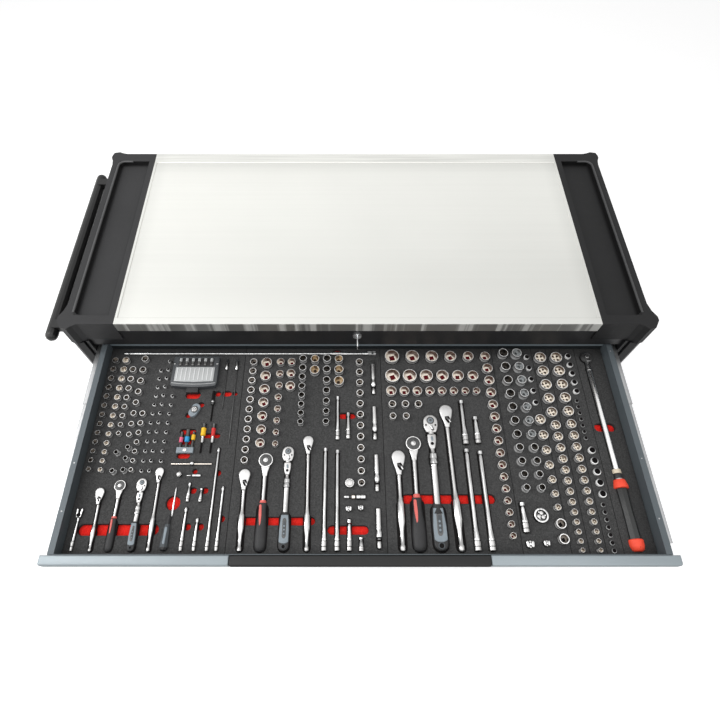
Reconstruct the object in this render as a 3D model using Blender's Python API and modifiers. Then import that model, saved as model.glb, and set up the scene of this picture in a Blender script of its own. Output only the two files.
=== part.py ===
# Tool cart: six-drawer roller cabinet with a stainless worktop, side trays and a push bar.
# Metres, +Z up, +X to the right of someone who stands at the drawers, +Y to the back.
# The first drawer stands open at rest and holds foam inlays with hand tools; the others are shut.
# Places below are in the cart's own frame: x = 0 on the middle plane, y = 0 at the worktop's front
# edge, z = 0 on the floor. One empty moves it all so that the origin is under the box's centre.
import bpy
import bmesh
import math
from mathutils import Matrix, Vector

for old in list(bpy.data.objects):
    bpy.data.objects.remove(old, do_unlink=True)

# Clearances shared by every piece
gap = 0.0003
overrun = 0.004
sheet = 0.0012
merge = 0.00005

# Worktop: a steel tray turned down over a board
top_height = 1.010
worktop_width = 1.056
worktop_depth = 0.542
worktop_thick = 0.028
worktop_well_depth = 0.0015
worktop_front_rim = 0.017
worktop_back_rim = 0.032
worktop_side_rim = 0.006
worktop_edge = 0.0005

# Side trays with their corner bumpers
tray_width = 0.1097
tray_height = 0.062
tray_wall = 0.003
tray_front_reach = 0.013
tray_back_reach = 0.007
tray_side_reach = 0.014
tray_front_corner = 0.055
tray_back_corner = 0.040
tray_well_depth = 0.012
tray_well_inner_rim = 0.0145
tray_well_outer_rim = 0.0185
tray_well_front_rim = 0.024
tray_well_back_rim = 0.029
tray_well_round = 0.014
tray_floor_thick = 0.003
tray_lip_radius = 0.0016

# Cabinet shell
side_inset = 0.0005
post_reach = 0.0320
post_groove_start = 0.0070
post_groove_width = 0.0030
post_groove_depth = 0.0050
post_front = 0.0040
post_bulge = 0.0120
post_side_reach = 0.0075
post_depth = 0.034
front_return = 0.035
rear_return = 0.095
back_inset = 0.007
castor_rise = 0.038
base_height = 0.0565
base_sheet = 0.002
back_sheet = 0.0014
rail_front = 0.0035
rail_drop = 0.0612
rail_flange = 0.034

# Push bar and its brackets
bar_radius = 0.0135
bar_offset = 0.0520
bar_drop = 0.058
bar_front = -0.005
bar_back_inset = 0.019
bracket_width = 0.022
bracket_height = 0.018
bracket_inset = 0.036

# Lock
lock_drop = 0.052
lock_radius = 0.0085
lock_collar_radius = 0.0100
lock_collar = 0.003
lock_depth = 0.026
plug_radius = 0.0060
key_thick = 0.0018
key_blade = 0.016
key_blade_height = 0.0070
key_reach = 0.026
key_bow_height = 0.022
key_hang = 0.0050

# Drawers and their three-member slides
drawer_units = (1, 1, 1, 1, 2, 3)
base_clear = 0.0005
drawer_top_drop = 0.0925
slide_room = 0.0165
drawer_back_room = 0.066
drawer_wall = 0.0125
drawer_slack = 0.0105
rim_drop = 0.0008
travel_short = 0.0095
front_side_clear = 0.0025
front_thick = 0.0193
front_seam = 0.003
front_round = 0.0053
front_skin = 0.0026
grip_half_width = 0.246
grip_proud = 0.0015
grip_rise = 0.001
grip_lip = 0.022
grip_height = 0.043
grip_wall = 0.0035
slide_gap = 0.0030
rail_height = 0.046
rail_short = 0.015
rail_start = 0.012
mid_short = 0.034
mid_travel_share = 0.36126
mid_start = 0.026
runner_short = 0.024
runner_start = 0.026
slide_reach = 0.0122
slide_play = 0.0005
tall_slide_rise = 0.12

# Foam bed and tools in the first drawer
foam_drop_share = 0.3677
red_foam = 0.005
red_pad_drop = 0.0105
seam_shares = (0.0, 0.274, 0.5475, 0.775, 1.0)
socket_rise = 0.010
socket_sink = 0.002
wide_socket_share = 0.048
small_socket_share = 0.029
deep_socket_rise = 0.0135
tool_rise = 0.010
lying_rise_share = 0.35
pocket_clear = 0.0015
bit_box_rise = 0.016
bit_box_sink = 0.010

# Castors
wheel_radius = 0.0625
wheel_width = 0.036
wheel_hub_width = 0.042
wheel_bore = 0.0065
wheel_steps = 18
axle_radius = 0.0060
axle_head_radius = 0.0095
axle_head = 0.006
fork_sheet = 0.004
fork_clear = 0.003
fork_half_depth = 0.026
fork_foot_radius = 0.016
swivel_trail = 0.038
swivel_race_radius = 0.031
swivel_race = 0.010
castor_plate_length = 0.105
castor_plate_width = 0.085
castor_plate = 0.004
castor_inset_x = 0.100
castor_front_inset = 0.090
castor_rear_inset = 0.115
castor_turn = 90
fork_shoulder = 0.022
kingpin_radius = 0.006
kingpin_nut_radius = 0.0095
kingpin_nut = 0.005
pedal_width = 0.034
pedal_reach = 0.100
pedal_thick = 0.0045
pedal_lean = 0.0035
pedal_pin_radius = 0.004
pedal_pin_ahead = 0.016
pedal_pin_drop = 0.0145

# Worked out from the sizes above
half_top = worktop_width / 2
half_tray = half_top + gap + tray_width
tray_bottom = top_height - tray_height
half_bumper = half_tray + tray_side_reach
cabinet_half_width = half_tray - side_inset
cabinet_back = worktop_depth - back_inset
post_inner = cabinet_half_width - post_reach
base_bottom = 2 * wheel_radius + castor_rise
bar_x = -(cabinet_half_width + bar_offset + gap)
bar_z = top_height - bar_drop
bar_back = worktop_depth - bar_back_inset
rail_top = top_height - worktop_thick - gap
rail_bottom = rail_top - rail_drop
side_top = tray_bottom - gap
drawer_top = top_height - drawer_top_drop
drawer_pitch = (drawer_top - base_bottom - base_height - base_clear) / sum(drawer_units)
foam_drop = drawer_pitch * foam_drop_share
drawer_half_width = post_inner - slide_room
drawer_front_half_width = post_inner - front_side_clear
drawer_depth = cabinet_back - drawer_back_room
drawer_travel = drawer_depth - travel_short
rail_length = drawer_depth - rail_short
mid_length = rail_length - mid_short
mid_travel = drawer_travel * mid_travel_share
runner_length = rail_length - runner_short
front_back = rail_front - 0.0007
front_face = front_back - front_thick
box_front = front_back + gap
rail_x = post_inner + sheet / 2
lock_z = top_height - lock_drop
wheel_z = wheel_radius
castor_x = cabinet_half_width - castor_inset_x
castor_y = (castor_front_inset, cabinet_back - castor_rear_inset)
plate_top = base_bottom
fixed_top = plate_top - castor_plate - gap
swivel_top = fixed_top - swivel_race
fork_reach = wheel_hub_width / 2 + fork_clear + fork_sheet
pedal_y = pedal_pin_ahead
pedal_z = swivel_top - pedal_pin_drop
frame_x = (bar_x - bar_radius + half_bumper) / 2
frame_y = (front_face - drawer_travel - grip_proud + worktop_depth + tray_back_reach) / 2

parts = bpy.data.collections.new("tool_cart")
bpy.context.scene.collection.children.link(parts)
cutters = bpy.data.collections.new("cutters")
bpy.context.scene.collection.children.link(cutters)
cutters.hide_render = True

cart = bpy.data.objects.new("cart_frame", None)
cart.location = (-frame_x, -frame_y, 0)
parts.objects.link(cart)

# Colours as the photograph shows them, linear
finishes = {
    "steel": ((0.80, 0.80, 0.78), 0.28, 1.0),
    "black_plastic": ((0.030, 0.030, 0.031), 0.45, 0.0),
    "black_paint": ((0.008, 0.008, 0.009), 0.18, 0.0),
    "grey_paint": ((0.12, 0.15, 0.17), 0.38, 0.3),
    "zinc": ((0.62, 0.64, 0.66), 0.30, 1.0),
    "chrome": ((0.82, 0.82, 0.82), 0.10, 1.0),
    "black_foam": ((0.040, 0.040, 0.040), 0.95, 0.0),
    "red_foam": ((0.70, 0.010, 0.012), 0.85, 0.0),
    "rubber": ((0.050, 0.050, 0.052), 0.80, 0.0),
    "grey_plastic": ((0.20, 0.22, 0.23), 0.50, 0.0),
    "board": ((0.45, 0.33, 0.20), 0.80, 0.0),
}
made = {}


def finish(name):
    if name not in made:
        colour, roughness, metallic = finishes[name]
        material = bpy.data.materials.new(name)
        material.use_nodes = True
        shader = material.node_tree.nodes["Principled BSDF"]
        shader.inputs["Base Color"].default_value = (*colour, 1.0)
        shader.inputs["Roughness"].default_value = roughness
        shader.inputs["Metallic"].default_value = metallic
        material.diffuse_color = (*colour, 1.0)
        made[name] = material
    return made[name]


def place(name, mesh, look, parent=None, at=(0, 0, 0)):
    """Makes one sub-part from a mesh, at a place in its parent."""
    item = bpy.data.objects.new(name, mesh)
    item.data.materials.clear()
    item.data.materials.append(finish(look).copy())
    item.data.materials[0].name = name + "_" + look
    parts.objects.link(item)
    item.parent = parent or cart
    item.location = at
    return item


def pivot(name, at, parent=None, turn=0):
    """An empty on a joint's axis, turned by some degrees about Z."""
    item = bpy.data.objects.new(name, None)
    parts.objects.link(item)
    item.parent = parent or cart
    item.location = at
    item.rotation_euler = (0, 0, math.radians(turn))
    return item


def add_block(shape, low, high):
    """Adds a box between two corners, from a cube."""
    low = Vector(low)
    high = Vector(high)
    made_cube = bmesh.ops.create_cube(shape, size=1.0)
    bmesh.ops.scale(shape, vec=high - low, verts=made_cube["verts"])
    bmesh.ops.translate(shape, vec=(low + high) / 2, verts=made_cube["verts"])
    return made_cube["verts"]


def add_cylinder(shape, start, end, radius, sides=8, end_radius=None):
    """Adds a closed cylinder or cone between two points."""
    start = Vector(start)
    end = Vector(end)
    axis = end - start
    turn = Vector((0, 0, 1)).rotation_difference(axis).to_matrix().to_4x4()
    matrix = Matrix.Translation((start + end) / 2) @ turn
    bmesh.ops.create_cone(shape, cap_ends=True, segments=sides, radius1=radius,
                          radius2=radius if end_radius is None else end_radius,
                          depth=axis.length, matrix=matrix)


def mesh_of(shape, name):
    mesh = bpy.data.meshes.new(name)
    shape.to_mesh(mesh)
    shape.free()
    return mesh


def block_mesh(name, low, high):
    shape = bmesh.new()
    add_block(shape, low, high)
    return mesh_of(shape, name)


# Which cart direction each axis of a flat outline takes: (outline x, outline y, thickness)
planes = {
    "XY": Matrix(((1, 0, 0), (0, 1, 0), (0, 0, 1))),
    "YZ": Matrix(((0, 0, 1), (1, 0, 0), (0, 1, 0))),
    "XZ": Matrix(((1, 0, 0), (0, 0, -1), (0, 1, 0))),
}


def slab_mesh(name, outline, low, high, plane="XY"):
    """A flat closed outline, thick from low to high across its plane."""
    curve = bpy.data.curves.new(name, "CURVE")
    curve.dimensions = "2D"
    curve.fill_mode = "BOTH"
    curve.extrude = (high - low) / 2
    spline = curve.splines.new("POLY")
    spline.points.add(len(outline) - 1)
    for point, (x, y) in zip(spline.points, outline):
        point.co = (x, y, 0, 1)
    spline.use_cyclic_u = True
    holder = bpy.data.objects.new(name, curve)
    parts.objects.link(holder)
    bpy.context.view_layer.update()
    evaluated = holder.evaluated_get(bpy.context.evaluated_depsgraph_get())
    mesh = bpy.data.meshes.new_from_object(evaluated)
    bpy.data.objects.remove(holder, do_unlink=True)
    middle = (low + high) / 2
    if plane == "XZ":
        middle = -middle
    shape = bmesh.new()
    shape.from_mesh(mesh)
    bmesh.ops.remove_doubles(shape, verts=shape.verts, dist=merge)
    bmesh.ops.translate(shape, vec=(0, 0, middle), verts=shape.verts)
    bmesh.ops.transform(shape, matrix=planes[plane].to_4x4(), verts=shape.verts)
    bmesh.ops.recalc_face_normals(shape, faces=shape.faces)
    shape.to_mesh(mesh)
    shape.free()
    return mesh


def folded_mesh(name, path, low, high, thick, plane="XZ"):
    """A folded sheet: an open path drawn in a plane, run across it and thickened to the inside of its folds."""
    shape = bmesh.new()
    turn = planes[plane]
    near = low if plane != "XZ" else -low
    far = high if plane != "XZ" else -high
    points = [shape.verts.new(turn @ Vector((x, y, near))) for x, y in path]
    edges = [shape.edges.new(pair) for pair in zip(points, points[1:])]
    run = bmesh.ops.extrude_edge_only(shape, edges=edges)
    moved = [item for item in run["geom"] if isinstance(item, bmesh.types.BMVert)]
    bmesh.ops.translate(shape, vec=turn @ Vector((0, 0, far - near)), verts=moved)
    bmesh.ops.solidify(shape, geom=shape.faces[:], thickness=-thick)
    bmesh.ops.recalc_face_normals(shape, faces=shape.faces)
    return mesh_of(shape, name)


def join_meshes(name, meshes):
    """Several solids in one mesh, each left a body of its own."""
    shape = bmesh.new()
    for mesh in meshes:
        shape.from_mesh(mesh)
    return mesh_of(shape, name)


def mirrored(mesh, name):
    """The same shape on the other side of the middle plane."""
    shape = bmesh.new()
    shape.from_mesh(mesh)
    bmesh.ops.scale(shape, vec=(-1, 1, 1), verts=shape.verts)
    bmesh.ops.reverse_faces(shape, faces=shape.faces)
    return mesh_of(shape, name)


def cut(item, cutter_mesh, operation="DIFFERENCE", crossing=False):
    """Cuts or joins a sub-part with a hidden shape that moves with it.

    A cutter whose own shapes cross each other is marked as crossing."""
    cutter = bpy.data.objects.new(item.name + "_cutter", cutter_mesh)
    cutter.display_type = "WIRE"
    cutter.hide_render = True
    cutters.objects.link(cutter)
    cutter.parent = item.parent
    cutter.location = item.location
    boolean = item.modifiers.new(operation.lower(), "BOOLEAN")
    boolean.operation = operation
    boolean.solver = "EXACT"
    boolean.use_self = crossing
    boolean.object = cutter
    return cutter


def bevel(item, width, segments=2, angle=math.radians(40)):
    edge = item.modifiers.new("bevel", "BEVEL")
    edge.width = width
    edge.segments = segments
    edge.limit_method = "ANGLE"
    edge.angle_limit = angle
    return edge


def arc(centre, radius, start, end, steps):
    """Points on an arc, angles in degrees."""
    points = []
    for step in range(steps + 1):
        angle = math.radians(start + (end - start) * step / steps)
        points.append((centre[0] + radius * math.cos(angle), centre[1] + radius * math.sin(angle)))
    return points


def turned(item, steps):
    """Screw modifier for a profile that stands beside the Z axis."""
    spin = item.modifiers.new("turn", "SCREW")
    spin.steps = steps
    spin.render_steps = steps
    spin.use_merge_vertices = True
    spin.merge_threshold = merge
    return spin


def profile_mesh(name, points):
    """An open profile of (radius, height) points, top to bottom on its outer side."""
    shape = bmesh.new()
    verts = [shape.verts.new((radius, 0, height)) for radius, height in points]
    for pair in zip(verts, verts[1:]):
        shape.edges.new(pair)
    return mesh_of(shape, name)


# Worktop with its shallow well, and the board that stiffens it
def make_worktop():
    low = (-half_top, 0, top_height - worktop_thick)
    high = (half_top, worktop_depth, top_height)
    top = place("worktop", block_mesh("worktop", low, high), "steel")
    well_low = (low[0] + worktop_side_rim, worktop_front_rim, top_height - worktop_well_depth)
    well_high = (high[0] - worktop_side_rim, worktop_depth - worktop_back_rim, top_height + overrun)
    cut(top, block_mesh("worktop_well", well_low, well_high))
    skin = Vector((sheet, sheet, 0))
    inside_top = top_height - worktop_well_depth - sheet
    room_low = Vector(low) + skin
    room_high = Vector(high) - skin
    room = block_mesh("worktop_room", (room_low.x, room_low.y, low[2] - overrun), (room_high.x, room_high.y, inside_top))
    cut(top, room)
    bevel(top, worktop_edge, 1, math.radians(80))
    core_low = (room_low.x + gap, room_low.y + gap, low[2])
    core_high = (room_high.x - gap, room_high.y - gap, inside_top - gap)
    place("worktop_core", block_mesh("worktop_core", core_low, core_high), "board")


# Side tray: plan outline with a bumper at each outer corner
front_corner_shares = ((0.71, 0.0), (0.81, 0.38), (0.90, 1.0), (1.03, 0.62))
side_corner_shares = ((1.0, -0.18), (0.97, -0.37), (0.36, -0.64), (0.0, -1.0))


def tray_outline():
    inner = half_top + gap
    points = [(inner, 0)]
    for across, out in front_corner_shares:
        points.append((inner + tray_width * across, -tray_front_reach * out))
    for out, back in side_corner_shares:
        points.append((half_tray + tray_side_reach * out, -tray_front_corner * back))
    for out, back in reversed(side_corner_shares):
        side = half_tray + tray_side_reach * out / 2
        points.append((side, worktop_depth - gap + tray_back_corner * back))
    for across, out in reversed(front_corner_shares):
        points.append((inner + tray_width * across, worktop_depth + tray_back_reach * out))
    points.append((inner, worktop_depth))
    return points


def well_outline():
    inner = half_top + gap + tray_well_inner_rim
    outer = half_tray - tray_well_outer_rim
    front = tray_well_front_rim
    back = worktop_depth - tray_well_back_rim
    points = [(inner, front)]
    points += arc((outer - tray_well_round, front + tray_well_round), tray_well_round, -90, 0, 4)
    points += arc((outer - tray_well_round, back - tray_well_round), tray_well_round, 0, 90, 4)
    points.append((inner, back))
    return points


def make_tray(name, side):
    shape = slab_mesh(name, tray_outline(), tray_bottom, top_height)
    well = slab_mesh(name + "_well", well_outline(), top_height - tray_well_depth, top_height + overrun)
    inner = half_top + gap
    under_top = top_height - tray_well_depth - tray_floor_thick
    room = block_mesh(name + "_room",
                      (inner + tray_wall, tray_wall, tray_bottom - overrun),
                      (half_tray - tray_wall, worktop_depth - tray_wall, under_top))
    mouth = block_mesh(name + "_mouth",
                       (inner - overrun, rail_front - gap, tray_bottom - overrun),
                       (inner + tray_wall + overrun, worktop_depth - tray_wall, rail_top + gap))
    if side < 0:
        shape, well, room, mouth = [mirrored(mesh, mesh.name) for mesh in (shape, well, room, mouth)]
    tray = place(name, shape, "black_plastic")
    cut(tray, well)
    cut(tray, room)
    cut(tray, mouth)


# Cabinet side: one sheet folded round its front and rear posts
def side_path():
    groove = post_inner + post_groove_start
    land = groove + post_groove_width
    outer = cabinet_half_width
    front = -post_front
    return [
        (post_inner, front_return),
        (post_inner, front),
        (groove, front),
        (groove, front + post_groove_depth),
        (land, front + post_groove_depth),
        (land, front - post_bulge * 0.35),
        (outer - post_side_reach, front - post_bulge * 0.7),
        (outer + post_side_reach * 0.6, front),
        (outer + post_side_reach, post_depth * 0.35),
        (outer + post_side_reach, post_depth * 0.85),
        (outer, post_depth * 1.1),
        (outer, cabinet_back),
        (post_inner, cabinet_back),
        (post_inner, cabinet_back - rear_return),
    ]


def make_side(name, side):
    path = [(x * side, y) for x, y in side_path()]
    thick = sheet if side > 0 else -sheet
    mesh = folded_mesh(name, path, base_bottom, side_top, thick, "XY")
    panel = place(name, mesh, "black_paint")
    rails = []
    for middle in slide_heights():
        rail = slide_member(name + "_rail", "rail", middle, rail_start, rail_length)
        rails.append(rail if side > 0 else mirrored(rail, rail.name))
    cut(panel, join_meshes(name + "_rails", rails), "UNION")


def make_shell():
    make_side("left_side", -1)
    make_side("right_side", 1)
    back_half = half_tray - tray_wall - gap
    back_low = (-back_half, cabinet_back + gap, base_bottom)
    back_high = (back_half, cabinet_back + gap + back_sheet, rail_top)
    place("back_panel", block_mesh("back_panel", back_low, back_high), "black_paint")
    half = post_inner - gap
    rim = base_bottom + base_height
    front = rail_front
    back = cabinet_back - gap
    pan = block_mesh("base_pan", (-half, front, base_bottom), (half, back, rim))
    base = place("base_pan", pan, "black_paint")
    inside = block_mesh("base_pan_inside", (base_sheet - half, front + base_sheet, base_bottom + base_sheet),
                        (half - base_sheet, back - base_sheet, rim + overrun))
    cut(base, inside)
    plates = []
    pins = bmesh.new()
    nuts = bmesh.new()
    for y in castor_y:
        for x in (-castor_x, castor_x):
            low = (x - castor_plate_length / 2, y - castor_plate_width / 2, plate_top - castor_plate)
            high = (x + castor_plate_length / 2, y + castor_plate_width / 2, base_bottom + base_sheet / 2)
            plates.append(block_mesh("plate", low, high))
        spot = (-castor_x, y)
        add_cylinder(pins, (*spot, swivel_top - fork_sheet - kingpin_nut / 2),
                     (*spot, plate_top - castor_plate / 2), kingpin_radius, 12)
        add_cylinder(nuts, (*spot, swivel_top - fork_sheet - gap - kingpin_nut),
                     (*spot, swivel_top - fork_sheet - gap), kingpin_nut_radius, 6)
    cut(base, join_meshes("castor_plates", plates), "UNION")
    cut(base, mesh_of(pins, "kingpins"), "UNION")
    cut(base, mesh_of(nuts, "kingpin_nuts"), "UNION")
    path = [(rail_flange, rail_top), (rail_front, rail_top), (rail_front, rail_bottom), (rail_flange, rail_bottom)]
    rail_half = post_inner - gap
    rail_mesh = folded_mesh("top_rail", path, -rail_half, rail_half, sheet, "YZ")
    rail = place("top_rail", rail_mesh, "black_paint")
    hole = bmesh.new()
    add_cylinder(hole, (0, rail_front - overrun, lock_z), (0, rail_front + overrun, lock_z), lock_radius + gap, 16)
    cut(rail, mesh_of(hole, "lock_hole"))


# Push bar: a round bar with domed ends, on two brackets
def make_push_bar():
    dome = arc((0, bar_back - bar_radius), bar_radius, 90, 0, 4)
    foot = arc((0, bar_front + bar_radius), bar_radius, 0, -90, 4)
    bar = place("push_bar", profile_mesh("push_bar", dome + foot), "black_plastic", at=(bar_x, 0, bar_z))
    bar.rotation_euler = (math.radians(-90), 0, 0)
    turned(bar, 14)
    spots = {"front": bar_front + bracket_inset, "rear": bar_back - bracket_inset}
    for end, spot in spots.items():
        name = "push_bar_bracket_" + end
        low = (bar_x, spot - bracket_width / 2, tray_bottom)
        high = (-(half_tray + gap), spot + bracket_width / 2, tray_bottom + bracket_height)
        arm = place(name, block_mesh(name, low, high), "black_plastic")
        seat = bmesh.new()
        add_cylinder(seat, (bar_x, bar_front - overrun, bar_z), (bar_x, bar_back + overrun, bar_z),
                     bar_radius + gap, 24)
        cut(arm, mesh_of(seat, "bar_seat"))
        flank = slab_mesh("flank", tray_outline(), tray_bottom - overrun, top_height)
        flank = mirrored(flank, "tray_flank")
        flank.transform(Matrix.Translation((-2 * gap, 0, 0)))
        cut(arm, flank)


# Lock: barrel in the rail, plug and key that turn in it
def make_lock():
    front = rail_front - lock_collar
    bore = plug_radius + gap
    profile = [(bore, lock_depth), (lock_radius, lock_depth), (lock_radius, lock_collar - gap),
               (lock_collar_radius, lock_collar - gap), (lock_collar_radius, 0), (bore, 0), (bore, lock_depth)]
    barrel = place("lock_barrel", profile_mesh("lock_barrel", profile), "chrome", at=(0, front, lock_z))
    barrel.rotation_euler = (math.radians(-90), 0, 0)
    turned(barrel, 20)
    axis = pivot("lock_axis", (0, front, lock_z))
    shape = bmesh.new()
    add_cylinder(shape, (0, gap, 0), (0, lock_depth, 0), plug_radius, 16)
    plug = place("lock_plug", mesh_of(shape, "lock_plug"), "chrome", axis)
    slot = block_mesh("key_slot", (-key_thick / 2 - gap, -overrun, -key_blade_height / 2 - gap),
                      (key_thick / 2 + gap, key_blade + gap, key_blade_height / 2 + gap))
    cut(plug, slot)
    half = key_blade_height / 2
    bow_top = key_bow_height / 2 - key_hang
    bow_low = -key_bow_height / 2 - key_hang
    neck = -key_reach * 0.25
    outline = [(key_blade, half), (neck, half), (neck - overrun, bow_top), (-key_reach + overrun, bow_top),
               (-key_reach, bow_top - overrun), (-key_reach, bow_low + overrun), (-key_reach + overrun, bow_low),
               (neck - overrun, bow_low), (neck, -half), (key_blade, -half)]
    key = slab_mesh("lock_key", outline, -key_thick / 2, key_thick / 2, "YZ")
    place("lock_key", key, "chrome", axis)


# Slides: three channels, one inside the next, on each side of a drawer
def channel(name, back_x, mouth_x, half_height, low, high, middle, toward=1):
    path = [(mouth_x, middle + half_height), (back_x, middle + half_height),
            (back_x, middle - half_height), (mouth_x, middle - half_height)]
    return folded_mesh(name, path, low, high, sheet * toward, "XZ")


def slide_member(name, kind, middle, start, length):
    """The right-hand channel of one member, at its place when the drawer is shut."""
    mid_half = rail_height / 2 - sheet - slide_play
    if kind == "rail":
        back_x, mouth_x, half, toward = rail_x, rail_x - slide_reach, rail_height / 2, 1
    elif kind == "mid":
        back_x = rail_x - sheet - slide_play
        mouth_x, half, toward = rail_x - slide_reach, mid_half, 1
    else:
        back_x = drawer_half_width + (gap if kind == "runner" else -sheet / 2)
        mouth_x = rail_x - 2 * (sheet + slide_play)
        half, toward = mid_half - sheet - slide_play, -1
    return channel(name, back_x, mouth_x, half, start, start + length, middle, toward)


def slide_heights():
    """The height of each drawer's slides, from the top drawer down."""
    top = drawer_top
    heights = []
    for units in drawer_units:
        height = drawer_pitch * units - drawer_slack
        heights.append(top - height / 2 + (0 if units == 1 else height * tall_slide_rise))
        top -= drawer_pitch * units
    return heights


# Drawer box: double-skinned sides, open on top, its rim a little below the front's top
def box_mesh(height, base):
    top = base + height - rim_drop
    return block_mesh("drawer_box", (-drawer_half_width, box_front, base),
                      (drawer_half_width, box_front + drawer_depth, top))


def box_cutter(height, base):
    """The inside, and the hollow between the two skins of each side, open at its foot."""
    top = base + height - rim_drop
    inner = drawer_half_width - drawer_wall
    back = box_front + drawer_depth
    shape = bmesh.new()
    add_block(shape, (-inner, box_front + sheet, base + sheet), (inner, back - sheet, top + overrun))
    for side in (-1, 1):
        near = side * (inner + sheet)
        far = side * (drawer_half_width - sheet)
        add_block(shape, (min(near, far), box_front + sheet, base - overrun),
                  (max(near, far), back - sheet, top - sheet))
    return mesh_of(shape, "drawer_box_cutter")


def front_shape(low, high, back):
    """A front panel with its leading edges rounded."""
    shape = bmesh.new()
    add_block(shape, (-drawer_front_half_width, front_face, low), (drawer_front_half_width, back, high))
    edges = []
    for edge in shape.edges:
        if all(abs(vert.co.y - front_face) < merge for vert in edge.verts):
            edges.append(edge)
    bmesh.ops.bevel(shape, geom=edges, offset=front_round, segments=3, profile=0.5, affect="EDGES")
    return mesh_of(shape, "drawer_front")


def front_cutter(low, high, welded):
    """The hollow behind the panel, open at the back or the foot, and the notch that the grip fills."""
    shape = bmesh.new()
    reach = grip_half_width + gap
    inner = drawer_front_half_width - front_skin
    floor = low - overrun if welded else low + front_skin
    back = front_back if welded else front_back + overrun
    for side in (-1, 1):
        near = side * (reach + sheet)
        add_block(shape, (min(near, side * inner), front_face + front_skin, floor),
                  (max(near, side * inner), back, high - front_skin))
    add_block(shape, (-reach, front_face - overrun, high - grip_height - gap),
              (reach, box_front + gap if welded else front_back + overrun, high + overrun))
    return mesh_of(shape, "drawer_front_cutter")


def grip_mesh(name, high):
    """A moulded grip: top plate, rounded lip to pull, back wall and sill."""
    top = high + grip_rise
    face = front_face - grip_proud
    back = front_back
    foot = high - grip_height
    nose = arc((face + front_round, top - front_round), front_round, 90, 180, 3)
    outline = [(back, top)] + nose + [
        (face, top - grip_lip),
        (face + grip_wall, top - grip_lip),
        (face + grip_wall, top - front_round),
        (face + front_round, top - grip_wall),
        (back - grip_wall, top - grip_wall),
        (back - grip_wall, foot + grip_wall),
        (front_face + grip_wall, foot + grip_wall),
        (front_face, foot),
        (back, foot),
    ]
    return slab_mesh(name, outline, -grip_half_width, grip_half_width, "YZ")


def make_drawers():
    """Each drawer hangs on an empty at its shut place, pulled out only for the first one.

    The first drawer's front and runners are sub-parts of their own; the others are welded to
    their box."""
    top = drawer_top
    for number, (units, middle) in enumerate(zip(drawer_units, slide_heights()), 1):
        name = "drawer_" + str(number)
        height = drawer_pitch * units - drawer_slack
        pulled = drawer_travel if number == 1 else 0
        mid_pulled = mid_travel if number == 1 else 0
        axis = pivot(name + "_slide", (0, -pulled, 0))
        mid_axis = pivot(name + "_mid_slide", (0, -mid_pulled, 0))
        panel_low = top - drawer_pitch * units + front_seam
        base = top - height
        welded = number > 1
        box = place(name + "_box", box_mesh(height, base), "grey_paint", axis)
        if welded:
            cut(box, front_shape(panel_low, top, box_front + sheet / 2), "UNION")
            runner = slide_member(name + "_runner", "welded", middle, runner_start, runner_length)
            cut(box, join_meshes(name + "_runners", [runner, mirrored(runner, name + "_left")]), "UNION")
            cut(box, front_cutter(panel_low, top, welded))
        else:
            panel = place(name + "_front", front_shape(panel_low, top, front_back), "grey_paint", axis)
            cut(panel, front_cutter(panel_low, top, welded))
            runner = slide_member(name + "_runner_right", "runner", middle, runner_start, runner_length)
            place(name + "_runner_right", runner, "zinc", axis)
            place(name + "_runner_left", mirrored(runner, name + "_runner_left"), "zinc", axis)
        cut(box, box_cutter(height, base))
        place(name + "_grip", grip_mesh(name + "_grip", top), "black_plastic", axis)
        mid = slide_member(name + "_mid_rail_right", "mid", middle, mid_start, mid_length)
        place(name + "_mid_rail_right", mid, "zinc", mid_axis)
        place(name + "_mid_rail_left", mirrored(mid, name + "_mid_rail_left"), "zinc", mid_axis)
        if number == 1:
            fill_drawer(axis, base + sheet, top - foam_drop)
        top -= drawer_pitch * units


# What lies in the first drawer. Places are shares of the foam bed: across from the left, then
# forward from the back wall; widths are shares of the bed's depth. Read from the photograph.
# Rows of sockets that run front to back: across, first, last, how many, widths, stands tall
socket_column_shares = {
    1: ((0.015, 0.079, 0.636, 13, 0.034, 0.024, False), (0.036, 0.079, 0.638, 13, 0.034, 0.021, False),
        (0.054, 0.131, 0.465, 8, 0.034, 0.021, False), (0.059, 0.559, 0.645, 2, 0.021, 0.021, True),
        (0.074, 0.071, 0.471, 8, 0.034, 0.024, False), (0.078, 0.535, 0.640, 3, 0.021, 0.021, True),
        (0.091, 0.366, 0.638, 7, 0.027, 0.020, False)),
    2: ((0.293, 0.088, 0.593, 11, 0.036, 0.032, False), (0.319, 0.092, 0.512, 7, 0.054, 0.043, False),
        (0.347, 0.088, 0.516, 8, 0.039, 0.028, False), (0.369, 0.088, 0.221, 3, 0.040, 0.048, False),
        (0.392, 0.073, 0.411, 8, 0.037, 0.027, False), (0.416, 0.075, 0.137, 2, 0.042, 0.048, False),
        (0.440, 0.073, 0.409, 7, 0.040, 0.029, False), (0.464, 0.075, 0.197, 3, 0.041, 0.049, False),
        (0.505, 0.088, 0.696, 12, 0.036, 0.031, False)),
    3: ((0.760, 0.124, 0.921, 15, 0.051, 0.027, False),),
    4: ((0.796, 0.041, 0.719, 11, 0.048, 0.030, True), (0.823, 0.041, 0.719, 11, 0.048, 0.030, True),
        (0.845, 0.396, 0.803, 7, 0.049, 0.028, False), (0.845, 0.872, 0.934, 2, 0.043, 0.043, False),
        (0.870, 0.062, 0.358, 5, 0.058, 0.050, False), (0.872, 0.424, 0.979, 13, 0.045, 0.019, False),
        (0.902, 0.062, 0.353, 5, 0.058, 0.050, False), (0.902, 0.418, 0.979, 13, 0.045, 0.019, False),
        (0.928, 0.051, 0.246, 5, 0.033, 0.033, False), (0.930, 0.544, 0.743, 5, 0.036, 0.036, False)),
}
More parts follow.
